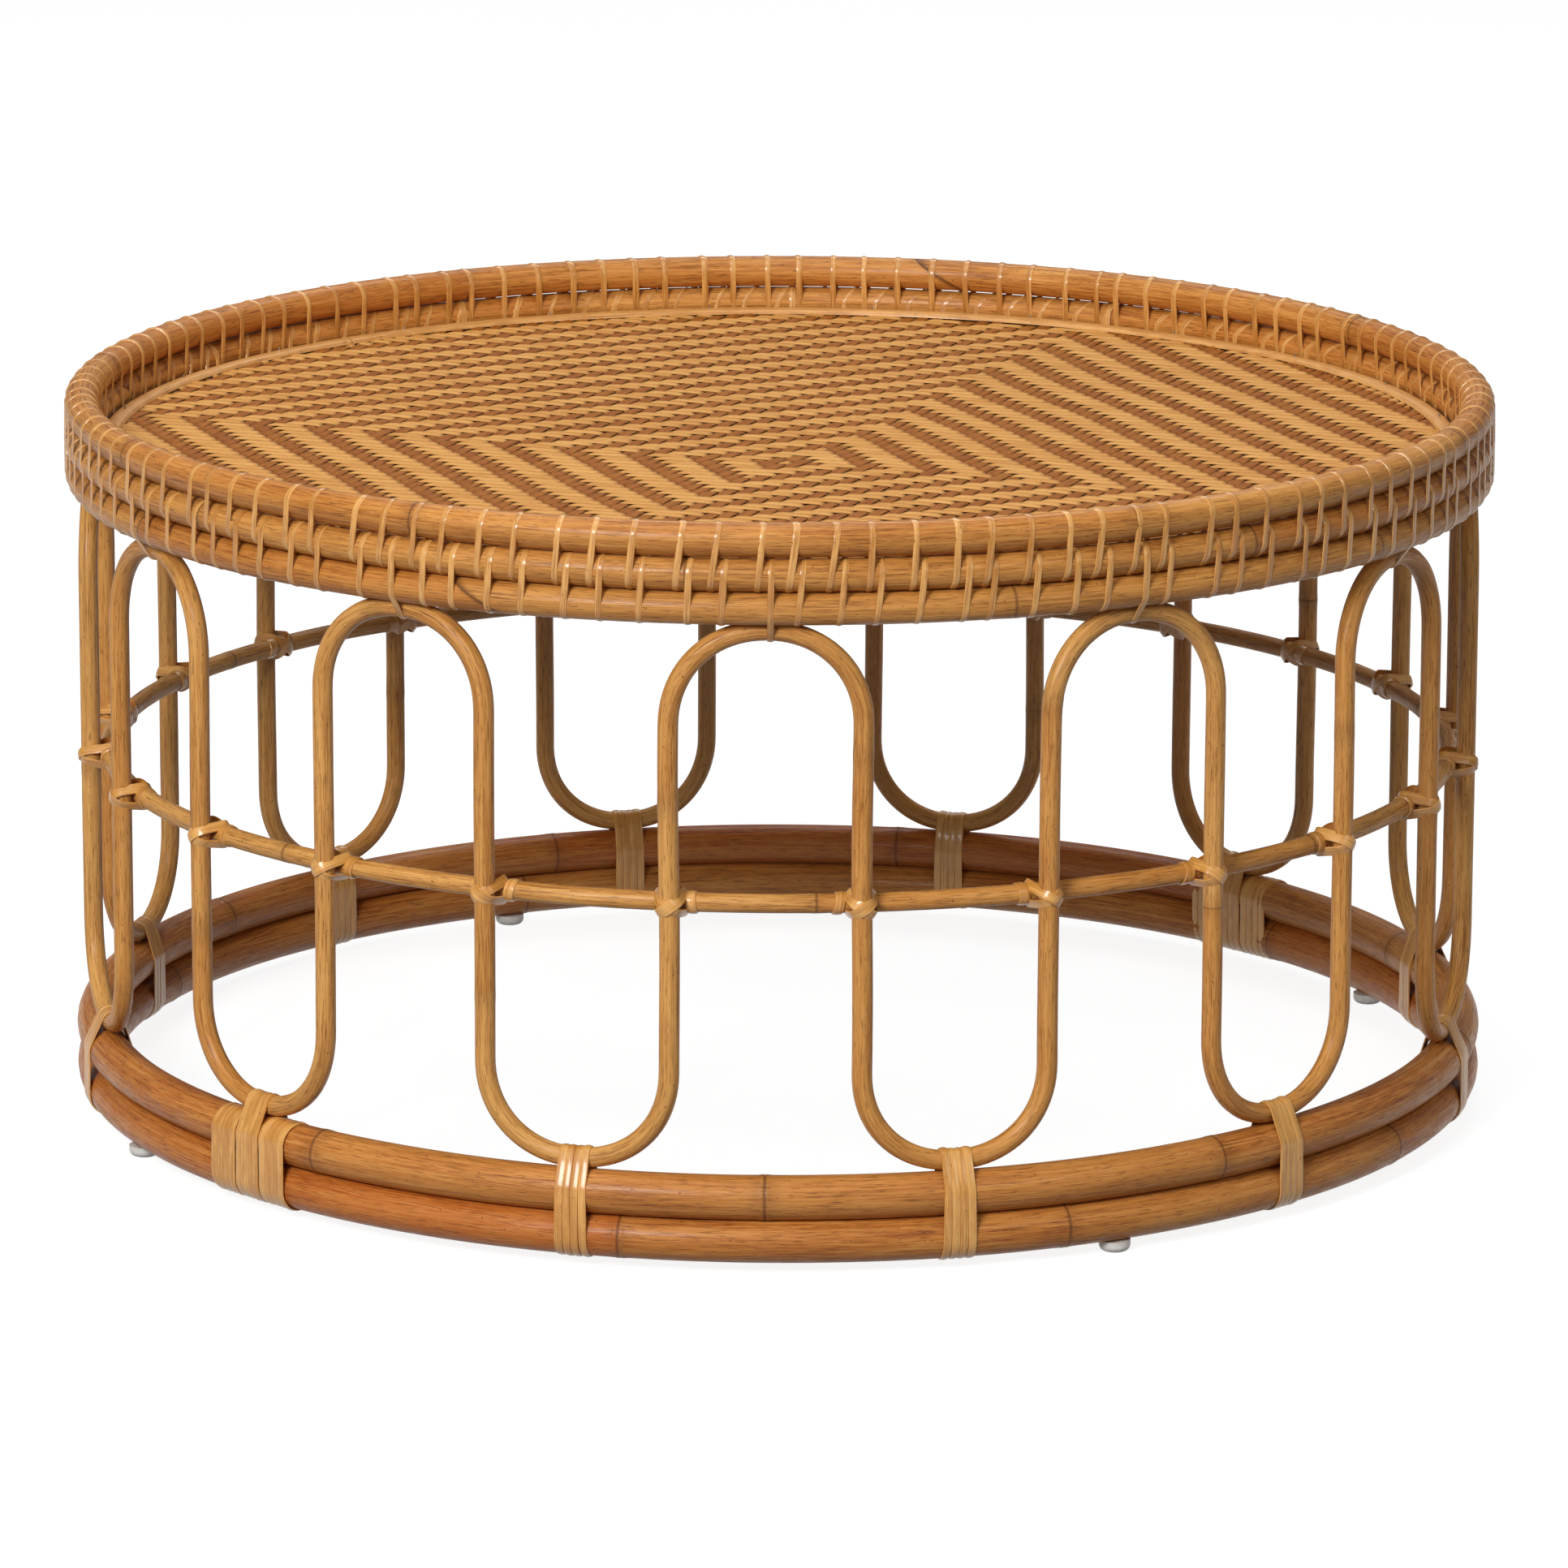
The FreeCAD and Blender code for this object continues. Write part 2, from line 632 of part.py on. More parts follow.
def crossing_bindings():
    """Two flat strips crossed over each leg and behind the hoop, one lying on the other."""
    body = body_named("crossing_bindings")
    strips = []
    for name, tilt, inner, outer in (
        ("under_strip", 45, "knot_inner_ring", "knot_outer_ring"),
        ("over_strip", -45, "over_knot_inner_ring", "over_knot_outer_ring"),
    ):
        corners = [
            ((inner, 1), ("knot_corner_reach", -1), "knot_corner"),
            ((outer, 1), ("knot_corner_reach", -1), "knot_corner"),
            ((outer, 1), ("knot_corner_reach", 1), "knot_corner"),
            ((inner, 1), ("knot_corner_reach", 1), "knot_corner"),
        ]
        sketch = loop_sketch(body, name, corners, tilt, "hoop_level")
        strips.append(pad_across(body, f"{name}_pad", sketch, "knot_width"))
    all_round(body, strips, 2 * ARCHES)
    return turned(body, LEG_ANGLE)


keep(crossing_bindings(), "crossing_bindings")

# ---------------------------------------------------------------- base

upper_base_blank = ring(
    "upper_base_blank", "base_ring_radius", "base_pole_radius", "base_upper_level", SPLICE_ANGLE
)
upper_base_kerf = kerf(
    "upper_base_kerf", "base_ring_radius", "base_upper_level", SPLICE_ANGLE, SPLICE_SLANT, SPLICE_REACH
)
upper_base = cut(
    "base_upper_pole", upper_base_blank, upper_base_kerf, arch_foot_brads, base_pole_brads
)
keep(upper_base, "base_upper_pole")

lower_base_blank = ring(
    "lower_base_blank", "base_ring_radius", "base_pole_radius", "base_lower_level", SPLICE_ANGLE + 180
)
lower_base_kerf = kerf(
    "lower_base_kerf",
    "base_ring_radius",
    "base_lower_level",
    SPLICE_ANGLE + 180,
    SPLICE_SLANT,
    SPLICE_REACH,
)
lower_base = cut("base_lower_pole", lower_base_blank, lower_base_kerf, base_pole_brads, glide_nails)
keep(lower_base, "base_lower_pole")


def base_bindings():
    """Four turns of strip round each foot bend and both base poles, drawn as one band."""
    body = body_named("base_bindings")
    sketch = loop_sketch(body, "binding_loop", [BASE_LOWER, BASE_UPPER, ARCH_FOOT, BASE_UPPER])
    band = sweep_round(body, "binding_band", sketch, "binding_sweep")
    all_round(body, [band], ARCHES)
    return turned(body, HALF_SECTOR)


# Between the narrow binding and the extra turns beside it.
WRAP_GAP = 0.75


def splice_wraps():
    """Further turns on both sides of two bindings, round the base poles only, over the pole splices."""
    body = body_named("splice_wraps")
    sketch = loop_sketch(body, "splice_loop", [BASE_LOWER, BASE_UPPER])
    band = sweep_round(body, "splice_band", sketch, "splice_sweep")
    apart = size("binding_width") / 2 + WRAP_GAP + size("splice_width") / 2
    offset = math.degrees(apart / size("base_ring_radius"))
    in_groups(body, band, 2 * offset, 2, 2)
    return turned(body, SPLICE_ANGLE - offset)


keep(base_bindings(), "base_bindings")
keep(splice_wraps(), "splice_wraps")


def glide_blank():
    """Low plastic dome with a flat face to stand on."""
    dome = doc.addObject("Part::Cylinder", "glide_disc")
    bind(dome, Radius="sizes.glide_radius", Height="sizes.glide_height")
    rounding = doc.addObject("Part::Fillet", "glide_dome")
    doc.recompute()
    rounding.Base = dome
    edges = dome.Shape.Edges
    bottom_edge = 1 + min(range(len(edges)), key=lambda i: edges[i].CenterOfMass.z)
    fillet_radius = size("glide_radius") - size("glide_flat_radius")
    rounding.Edges = [(bottom_edge, fillet_radius, fillet_radius)]
    return rounding


glide = glide_blank()
for number, angle in enumerate(GLIDE_ANGLES, start=1):
    foot = doc.addObject("Part::Refine", f"glide_head_{number}")
    foot.Source = glide
    out_to_pole = Placement(Vector(size("base_ring_radius"), 0, 0), Rotation())
    foot.Placement = Placement(Vector(), Rotation(Z_AXIS, angle)) * out_to_pole
    keep(cut(f"glide_{number}", foot, glide_nails), f"glide_{number}")

# ---------------------------------------------------------------- check and write

doc.recompute()
for item in doc.Objects:
    for fault in ("Invalid", "Error"):
        if fault in item.State:
            raise RuntimeError(f"{item.Name} did not rebuild: {item.State}")
for part in sub_parts:
    if part.Shape.isNull() or not part.Shape.isValid() or not part.Shape.Solids:
        raise RuntimeError(f"{part.Label} is not a valid solid")

os.makedirs("parts", exist_ok=True)
for part in sub_parts:
    part.Shape.exportStep(os.path.join("parts", f"{part.Label}.step"))
    box = part.Shape.BoundBox
    print(
        f"{part.Label:20s} {len(part.Shape.Solids):4d} solids  {part.Shape.Volume / 1000:9.2f} cm3"
        f"  z {box.ZMin:7.2f} to {box.ZMax:7.2f}  radius {max(box.XMax, box.YMax):7.2f}"
    )
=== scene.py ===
"""Round rattan coffee table: canes, lacing, woven mat and bindings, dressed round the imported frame.

Metres, Z up, the middle of the table on the floor at the origin.  Angles are in degrees about Z from +X.
"""

import logging
import math
import random
from dataclasses import dataclass, field
from enum import Enum
from typing import Mapping, Optional, Sequence, Union

import bmesh
import bpy
import numpy as np
from mathutils import Matrix, Vector


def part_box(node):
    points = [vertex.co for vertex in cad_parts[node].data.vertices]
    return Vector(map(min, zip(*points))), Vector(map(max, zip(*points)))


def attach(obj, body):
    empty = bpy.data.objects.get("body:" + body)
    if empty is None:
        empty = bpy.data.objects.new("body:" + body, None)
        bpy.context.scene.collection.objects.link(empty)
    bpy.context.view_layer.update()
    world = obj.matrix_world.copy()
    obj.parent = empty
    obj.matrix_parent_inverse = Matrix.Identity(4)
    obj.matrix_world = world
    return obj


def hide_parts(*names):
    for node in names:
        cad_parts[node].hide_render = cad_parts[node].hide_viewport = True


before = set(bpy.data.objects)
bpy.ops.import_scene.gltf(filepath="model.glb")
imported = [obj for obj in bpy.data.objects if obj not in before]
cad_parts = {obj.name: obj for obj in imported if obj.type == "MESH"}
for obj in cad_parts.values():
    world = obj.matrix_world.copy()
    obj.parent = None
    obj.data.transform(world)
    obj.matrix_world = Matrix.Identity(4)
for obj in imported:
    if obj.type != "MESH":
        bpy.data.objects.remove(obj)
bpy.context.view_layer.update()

MM = 0.001
UP = np.array((0.0, 0.0, 1.0))
ARCHES = 12
SECTOR = 360.0 / ARCHES
LEGS = 2 * ARCHES
LEG_STEP = 360.0 / LEGS
FIRST_LEG = LEG_STEP / 2
LOOP_STEP = 3.0
UPPER_LOOP_ANGLE = 2.15
SPLICE_ANGLES = (45.0, 225.0)
# Arch canes: the legs' ring, the ring of the arch tops and feet between them, and the reach of a bend.
CANE_RADIUS = 5.5 * MM
LEG_RING = 388.0 * MM
ARCH_RING = LEG_RING * math.cos(math.radians(LEG_STEP / 2))
BEND = LEG_RING * math.sin(math.radians(LEG_STEP / 2))
MERGE = 2e-6
# Uneven spacing of the lacing loops: seed of the first pair, and spread in degrees.
DRIFT_SEED = 5000
DRIFT = 0.3

log = logging.getLogger("coffee_table")
Colour = tuple[float, float, float]


def srgb(code: str) -> Colour:
    """Give the linear colour of a six-digit screen code."""

    def straight(value: float) -> float:
        """Straighten one channel."""
        return value / 12.92 if value <= 0.04045 else ((value + 0.055) / 1.055) ** 2.4

    red, green, blue = (straight(byte / 255) for byte in bytes.fromhex(code))
    return red, green, blue


# ---------------------------------------------------------------- shader kit


class Socket:
    """Output socket of a shader node that takes part in sums."""

    def __init__(self, book: "NodeBook", out: bpy.types.NodeSocket) -> None:
        """Wrap one output of a node in book."""
        self.book = book
        self.out = out

    def __add__(self, other: "Value") -> "Socket":
        """Add."""
        return self.book.sum_of("ADD", self, other)

    __radd__ = __add__

    def __sub__(self, other: "Value") -> "Socket":
        """Take other away."""
        return self.book.sum_of("SUBTRACT", self, other)

    def __rsub__(self, other: "Value") -> "Socket":
        """Take this away from other."""
        return self.book.sum_of("SUBTRACT", other, self)

    def __mul__(self, other: "Value") -> "Socket":
        """Multiply."""
        return self.book.sum_of("MULTIPLY", self, other)

    __rmul__ = __mul__

    def clear_of(self, low: float, high: float) -> "Socket":
        """Ramp that is 0 up to low and 1 from high on, smooth between."""
        return self.book.node(
            "ShaderNodeMapRange",
            {"interpolation_type": "SMOOTHSTEP"},
            {"Value": self, "From Min": low, "From Max": high},
            "Result",
        )


Value = Union[Socket, float, Colour]


class NodeBook:
    """Node tree of one material, with its Principled shader ready to feed."""

    def __init__(self, name: str) -> None:
        """Open an empty material of that name."""
        self.material = bpy.data.materials.new(name)
        self.material.use_nodes = True
        self.tree = self.material.node_tree
        self.tree.nodes.clear()
        self.shader = self.tree.nodes.new("ShaderNodeBsdfPrincipled")
        end = self.tree.nodes.new("ShaderNodeOutputMaterial")
        self.tree.links.new(self.shader.outputs[0], end.inputs["Surface"])

    def feed(self, socket: bpy.types.NodeSocket, value: Value) -> None:
        """Link or set one input socket."""
        if isinstance(value, Socket):
            self.tree.links.new(value.out, socket)
        elif isinstance(value, tuple) and len(socket.default_value) == 4:
            socket.default_value = (*value, 1.0)
        else:
            socket.default_value = value

    def node(
        self,
        kind: str,
        settings: Optional[Mapping[str, object]] = None,
        inputs: Optional[Mapping[Union[str, int], Value]] = None,
        output: Union[str, int] = 0,
    ) -> Socket:
        """Make a node.

        Args:
            kind: Type name of the node.
            settings: Properties set before the sockets; "stops" holds a ramp's (place, colour) pairs.
            inputs: Value or link of each socket, by name or number.
            output: Name or number of the output wanted.

        Returns:
            The wanted output.
        """
        made = self.tree.nodes.new(kind)
        for name, value in (settings or {}).items():
            if name == "stops":
                elements = made.color_ramp.elements
                while len(elements) < len(value):
                    elements.new(1.0)
                for element, (place, colour) in zip(elements, value):
                    element.position = place
                    element.color = (*colour, 1.0)
            else:
                setattr(made, name, value)
        for name, value in (inputs or {}).items():
            self.feed(made.inputs[name], value)
        return Socket(self, made.outputs[output])

    def sum_of(self, operation: str, one: Value, two: Value) -> Socket:
        """Make one Math node."""
        return self.node("ShaderNodeMath", {"operation": operation}, {0: one, 1: two})

    def blend(self, share: Value, one: Value, two: Value, way: str = "MIX") -> Socket:
        """Mix two colours: share 0 gives one, share 1 gives two."""
        settings = {"data_type": "RGBA", "blend_type": way}
        return self.node("ShaderNodeMix", settings, {0: share, 6: one, 7: two}, 2)

    def attribute(self, name: str) -> tuple[Socket, Socket, Socket]:
        """Read a piece's own attribute as three numbers."""
        whole = self.node("ShaderNodeAttribute", {"attribute_name": name}, {}, "Vector")
        return self.split(whole)

    def split(self, whole: Socket) -> tuple[Socket, Socket, Socket]:
        """Give the three parts of a vector."""
        parts = self.node("ShaderNodeSeparateXYZ", None, {0: whole})
        outs = parts.out.node.outputs
        return Socket(self, outs[0]), Socket(self, outs[1]), Socket(self, outs[2])

    def place(self) -> tuple[Socket, Socket, Socket]:
        """Place in the table, in metres."""
        return self.split(self.node("ShaderNodeTexCoord", None, None, "Object"))

    def noise(self, place: Sequence[Value], detail: float = 2.0, rough: float = 0.5) -> Socket:
        """Noise at a place whose parts are already scaled, one cell to a unit."""
        where = self.node("ShaderNodeCombineXYZ", None, {0: place[0], 1: place[1], 2: place[2]})
        inputs = {"Vector": where, "Scale": 1.0, "Detail": detail, "Roughness": rough}
        return self.node("ShaderNodeTexNoise", None, inputs, "Fac")

    def bump(self, height: Socket, strength: float, depth: float) -> None:
        """Feed the shader's normal from a height."""
        inputs = {"Height": height, "Strength": strength, "Distance": depth}
        self.feed(self.shader.inputs["Normal"], self.node("ShaderNodeBump", None, inputs))

    def surface(self, **values: Value) -> bpy.types.Material:
        """Feed the shader: Base_Color=..., Roughness=... and so on.

        Args:
            values: Value or link of each shader socket, with underscores for spaces.

        Returns:
            The finished material.
        """
        for name, value in values.items():
            self.feed(self.shader.inputs[name.replace("_", " ")], value)
        return self.material


# ---------------------------------------------------------------- finishes


@dataclass(frozen=True)
class RattanFinish:
    """Varnished round rattan, streaked along the cane, darker at its joints."""

    name: str
    dark: Colour
    middle: Colour
    light: Colour
    joint: Colour
    orange: Colour
    varnish: float = 0.15
    depth: float = 0.0003

    def material(self) -> bpy.types.Material:
        """Build the material from the cane's own length and section."""
        book = NodeBook(self.name)
        along, across, out = book.attribute("cane")
        off_joint, tint, shade = book.attribute("wear")
        streak = book.noise((along * 13.0, across * 560.0, out * 560.0), 3.0, 0.6)
        fibre = book.noise((along * 40.0, across * 1500.0, out * 1500.0), 3.0, 0.65)
        patch = book.noise((along * 14.0, across * 60.0, out * 60.0), 2.0, 0.55)
        dash = book.noise((along * 110.0, across * 1300.0, out * 1300.0), 1.0)
        speck = book.noise((along * 520.0, across * 520.0, out * 520.0), 1.0)
        scuff = book.noise((along * 75.0, across * 240.0, out * 240.0), 4.0, 0.7)

        grain = streak.clear_of(0.36, 0.64) * 0.42 + fibre.clear_of(0.34, 0.66) * 0.33
        grain = grain + patch.clear_of(0.3, 0.7) * 0.25
        colour = book.blend(grain.clear_of(0.05, 0.60), self.dark, self.middle)
        colour = book.blend(grain.clear_of(0.48, 0.98), colour, self.light)
        colour = book.blend(tint.clear_of(0.45, 1.0) * 0.5, colour, self.orange)
        colour = book.blend(tint.clear_of(0.55, 0.0) * 0.3, colour, self.light)
        thin = (1 - fibre).clear_of(0.56, 0.66) * (1 - patch).clear_of(0.38, 0.62)
        colour = book.blend(thin * 0.5, colour, self.joint)
        colour = book.blend(dash.clear_of(0.60, 0.68) * 0.42, colour, self.joint)
        colour = book.blend((1 - dash).clear_of(0.60, 0.70) * 0.35, colour, self.light)
        colour = book.blend(speck.clear_of(0.74, 0.78) * 0.7, colour, self.joint)
        pale = scuff.clear_of(0.58, 0.72) * 0.25
        colour = book.blend(pale, colour, self.light)
        at_joint = 1 - off_joint.clear_of(0.0002, 0.0014)
        near_joint = 1 - off_joint.clear_of(0.001, 0.012)
        colour = book.blend(at_joint * 0.6, colour, self.joint)
        colour = book.blend(near_joint * patch * 0.4, colour, self.joint)
        # Painted shade: darkens a pole round its scarf, so the gap between its ends reads as a dark crack.
        colour = book.blend(shade * 0.8, colour, self.joint)

        book.bump(streak * 0.5 + fibre * 0.9 - dash.clear_of(0.58, 0.70) * 0.35, 0.8, self.depth)
        rough = 0.34 + scuff.clear_of(0.35, 0.65) * 0.2 + fibre * 0.12
        return book.surface(
            Base_Color=colour,
            Roughness=rough,
            Coat_Weight=self.varnish,
            Coat_Roughness=0.22,
            Specular_IOR_Level=0.22,
        )


@dataclass(frozen=True)
class PeelFinish:
    """Flat peel of rattan skin: smooth, glossy and paler, with fine lengthwise lines."""

    name: str
    dark: Colour
    light: Colour
    mark: Colour
    varnish: float = 0.5

    def material(self) -> bpy.types.Material:
        """Build the material from the peel's own length and width."""
        book = NodeBook(self.name)
        along, across, out = book.attribute("cane")
        _, tint, shade = book.attribute("wear")
        line = book.noise((along * 26.0, across * 2600.0, out * 300.0), 2.0, 0.6)
        cloud = book.noise((along * 70.0, across * 260.0, out * 100.0), 3.0, 0.6)
        dot = book.noise((along * 300.0, across * 600.0, out * 300.0), 1.0)
        share = line.clear_of(0.35, 0.65) * 0.4 + cloud.clear_of(0.32, 0.68) * 0.3 + tint * 0.3
        colour = book.blend(share.clear_of(0.25, 0.75), self.dark, self.light)
        colour = book.blend((1 - line).clear_of(0.60, 0.72) * 0.45, colour, self.mark)
        colour = book.blend(dot.clear_of(0.72, 0.78) * 0.55, colour, self.mark)
        # Painted shade where the piece asks for it, as on the inner side of the lacing.
        colour = book.blend(shade * 0.65, colour, self.mark)
        book.bump(line + cloud * 0.4, 0.4, 0.00012)
        rough = 0.28 + cloud * 0.2 + line * 0.1
        return book.surface(
            Base_Color=colour,
            Roughness=rough,
            Coat_Weight=self.varnish,
            Coat_Roughness=0.12,
            Specular_IOR_Level=0.4,
        )


@dataclass(frozen=True)
class WovenFinish:
    """Split strand of the woven mat, streaked along its length, with painted shade where it dips under and
    along its edges.
    """

    name: str
    dark: Colour
    light: Colour
    shadow: Colour

    def material(self) -> bpy.types.Material:
        """Build the material from the strand's own length and width."""
        book = NodeBook(self.name)
        along, across, _ = book.attribute("cane")
        dip_shade, tint, shade = book.attribute("wear")
        # Painted shade along the strand's edges, where it meets its neighbours.
        edge = book.sum_of("ABSOLUTE", across, 0.0).clear_of(0.0027, 0.0040)
        line = book.noise((along * 45.0, across * 2400.0, 0.0), 3.0, 0.65)
        wide = book.noise((along * 18.0, across * 700.0, 7.0), 2.0, 0.6)
        fleck = book.noise((along * 220.0, across * 1500.0, 3.0), 1.0)
        share = line.clear_of(0.34, 0.66) * 0.4 + wide.clear_of(0.34, 0.66) * 0.35 + tint * 0.25
        colour = book.blend(share.clear_of(0.22, 0.78), self.dark, self.light)
        colour = book.blend(fleck.clear_of(0.64, 0.74) * 0.35, colour, self.shadow)
        colour = book.blend((1 - line).clear_of(0.60, 0.74) * 0.30, colour, self.shadow)
        colour = book.blend(tint * 0.22, colour, self.dark)
        # Painted shade along the edges, where the strand dips under, and wherever the piece asks for it.
        colour = book.blend(edge * 0.42, colour, self.shadow)
        colour = book.blend(dip_shade * 0.68, colour, self.shadow)
        colour = book.blend(shade * 0.7, colour, self.shadow)
        book.bump(line + wide * 0.6, 0.6, 0.00018)
        rough = 0.46 + line * 0.2
        return book.surface(
            Base_Color=colour, Roughness=rough, Specular_IOR_Level=0.1
        )


@dataclass(frozen=True)
class PlywoodFinish:
    """Sanded plywood board under the mat."""

    name: str
    dark: Colour
    light: Colour

    def material(self) -> bpy.types.Material:
        """Build the material from the board's place in the table."""
        book = NodeBook(self.name)
        x, y, z = book.place()
        warp = book.noise((x * 2.2, y * 5.0, z * 5.0), 2.0)
        figure = book.noise((x * 3.0, y * 46.0 + warp * 8.0, z * 900.0), 3.0, 0.6)
        pore = book.noise((x * 90.0, y * 1400.0, z * 1400.0), 2.0)
        colour = book.blend(figure.clear_of(0.32, 0.66), self.dark, self.light)
        colour = book.blend(pore.clear_of(0.58, 0.70) * 0.5, colour, self.dark)
        book.bump(figure * 0.3 + pore * 0.7, 0.35, 0.0002)
        return book.surface(Base_Color=colour, Roughness=0.55 + pore * 0.25, IOR=1.46)


@dataclass(frozen=True)
class PlasticFinish:
    """Pearl white moulded plastic of the glides."""

    name: str
    body: Colour
    grime: Colour

    def material(self) -> bpy.types.Material:
        """Build the material: clean dome, scuffed where it meets the floor."""
        book = NodeBook(self.name)
        x, y, z = book.place()
        cloud = book.noise((x * 260.0, y * 260.0, z * 260.0), 3.0, 0.6)
        grit = book.noise((x * 1500.0, y * 1500.0, z * 1500.0), 2.0)
        low = 1 - z.clear_of(0.0002, 0.0032)
        colour = book.blend(cloud.clear_of(0.35, 0.75) * 0.25 + low * grit * 0.5, self.body, self.grime)
        book.bump(grit, 0.15, 0.0001)
        return book.surface(Base_Color=colour, Roughness=0.24 + low * 0.3 + grit * 0.08, IOR=1.5)


@dataclass(frozen=True)
class SteelFinish:
    """Bright steel wire of the nails and pins, a little dulled."""

    name: str
    body: Colour
    dull: Colour

    def material(self) -> bpy.types.Material:
        """Build the material with fine turning marks and dull spots."""
        book = NodeBook(self.name)
        x, y, z = book.place()
        spot = book.noise((x * 900.0, y * 900.0, z * 900.0), 3.0, 0.6)
        colour = book.blend(spot.clear_of(0.4, 0.7), self.body, self.dull)
        book.bump(spot, 0.2, 0.00005)
        return book.surface(Base_Color=colour, Roughness=0.3 + spot * 0.25, Metallic=1.0)


class Finish(Enum):
    """Finishes of the table, named after the record's slots."""

    TRAY = "tray_rattan"
    ARCH = "arch_rattan"
    BASE = "base_rattan"
    LACING = "lacing_peel"
    BINDING = "binding_peel"
    PALE_STRAND = "woven_peel"
    DARK_STRAND = "woven_peel_dark"
    STRIP = "edge_strip"
    BOARD = "plywood"
    GLIDE = "glide_plastic"
    STEEL = "steel_wire"

    @property
    def slot(self) -> str:
        """Name of the record's material slot: both sets of strands share one."""
        return self.value.removesuffix("_dark")


FINISHES = {
    Finish.TRAY: RattanFinish(
        "tray_rattan_finish",
        dark=srgb("9e5e22"),
        middle=srgb("c4823a"),
        light=srgb("d89b50"),
        joint=srgb("50280c"),
        orange=srgb("b86a26"),
    ),
    Finish.ARCH: RattanFinish(
        "arch_rattan_finish",
        dark=srgb("ae7030"),
        middle=srgb("d4964d"),
        light=srgb("e5ad62"),
        joint=srgb("5a3010"),
        orange=srgb("c88036"),
        varnish=0.12,
    ),
    Finish.BASE: RattanFinish(
        "base_rattan_finish",
        dark=srgb("9e541c"),
        middle=srgb("c27933"),
        light=srgb("d4944d"),
        joint=srgb("4e240a"),
        orange=srgb("ba5c1c"),
        varnish=0.15,
    ),
    Finish.LACING: PeelFinish(
        "lacing_peel_finish", dark=srgb("ba7a32"), light=srgb("e2a85c"), mark=srgb("68340f")
    ),
    Finish.BINDING: PeelFinish(
        "binding_peel_finish", dark=srgb("c88638"), light=srgb("e6ab5c"), mark=srgb("68360f")
    ),
    Finish.PALE_STRAND: WovenFinish(
        "pale_strand_finish", dark=srgb("c48640"), light=srgb("e4ac62"), shadow=srgb("582a0b")
    ),
    Finish.DARK_STRAND: WovenFinish(
        "dark_strand_finish", dark=srgb("8e4d14"), light=srgb("ae6c28"), shadow=srgb("3a1a05")
    ),
    Finish.STRIP: PeelFinish(
        "edge_strip_finish", dark=srgb("c48846"), light=srgb("dca460"), mark=srgb("78441a"), varnish=0.2
    ),
    Finish.BOARD: PlywoodFinish("plywood_finish", dark=srgb("aa7c4a"), light=srgb("d0a874")),
    Finish.GLIDE: PlasticFinish("glide_finish", body=srgb("e8e4de"), grime=srgb("a89c8e")),
    Finish.STEEL: SteelFinish("steel_finish", body=srgb("bebcb8"), dull=srgb("787064")),
}
MATERIALS = {kind: finish.material() for kind, finish in FINISHES.items()}


# ---------------------------------------------------------------- bent stock


@dataclass
class Run:
    """Line that a cane or a peel is bent along.

    points, side and out are rows of three: the line, and the section's two axes on it.
    """

    points: np.ndarray
    side: np.ndarray
    out: np.ndarray
    closed: bool = False

    def lengths(self) -> np.ndarray:
        """Length along the line up to each point."""
        steps = np.linalg.norm(np.diff(self.points, axis=0), axis=1)
        return np.concatenate(([0.0], np.cumsum(steps)))

    def tangents(self) -> np.ndarray:
        """Direction of the line at each point."""
        rows = np.gradient(self.points, axis=0)
        if self.closed:
            rows[0] = rows[-1] = self.points[1] - self.points[-2]
        return rows / np.linalg.norm(rows, axis=1)[:, None]

    def squared(self) -> "Run":
        """Turn the side axis square to the line and to the out axis."""
        side = np.cross(self.tangents(), self.out)
        self.side = side / np.linalg.norm(side, axis=1)[:, None]
        return self


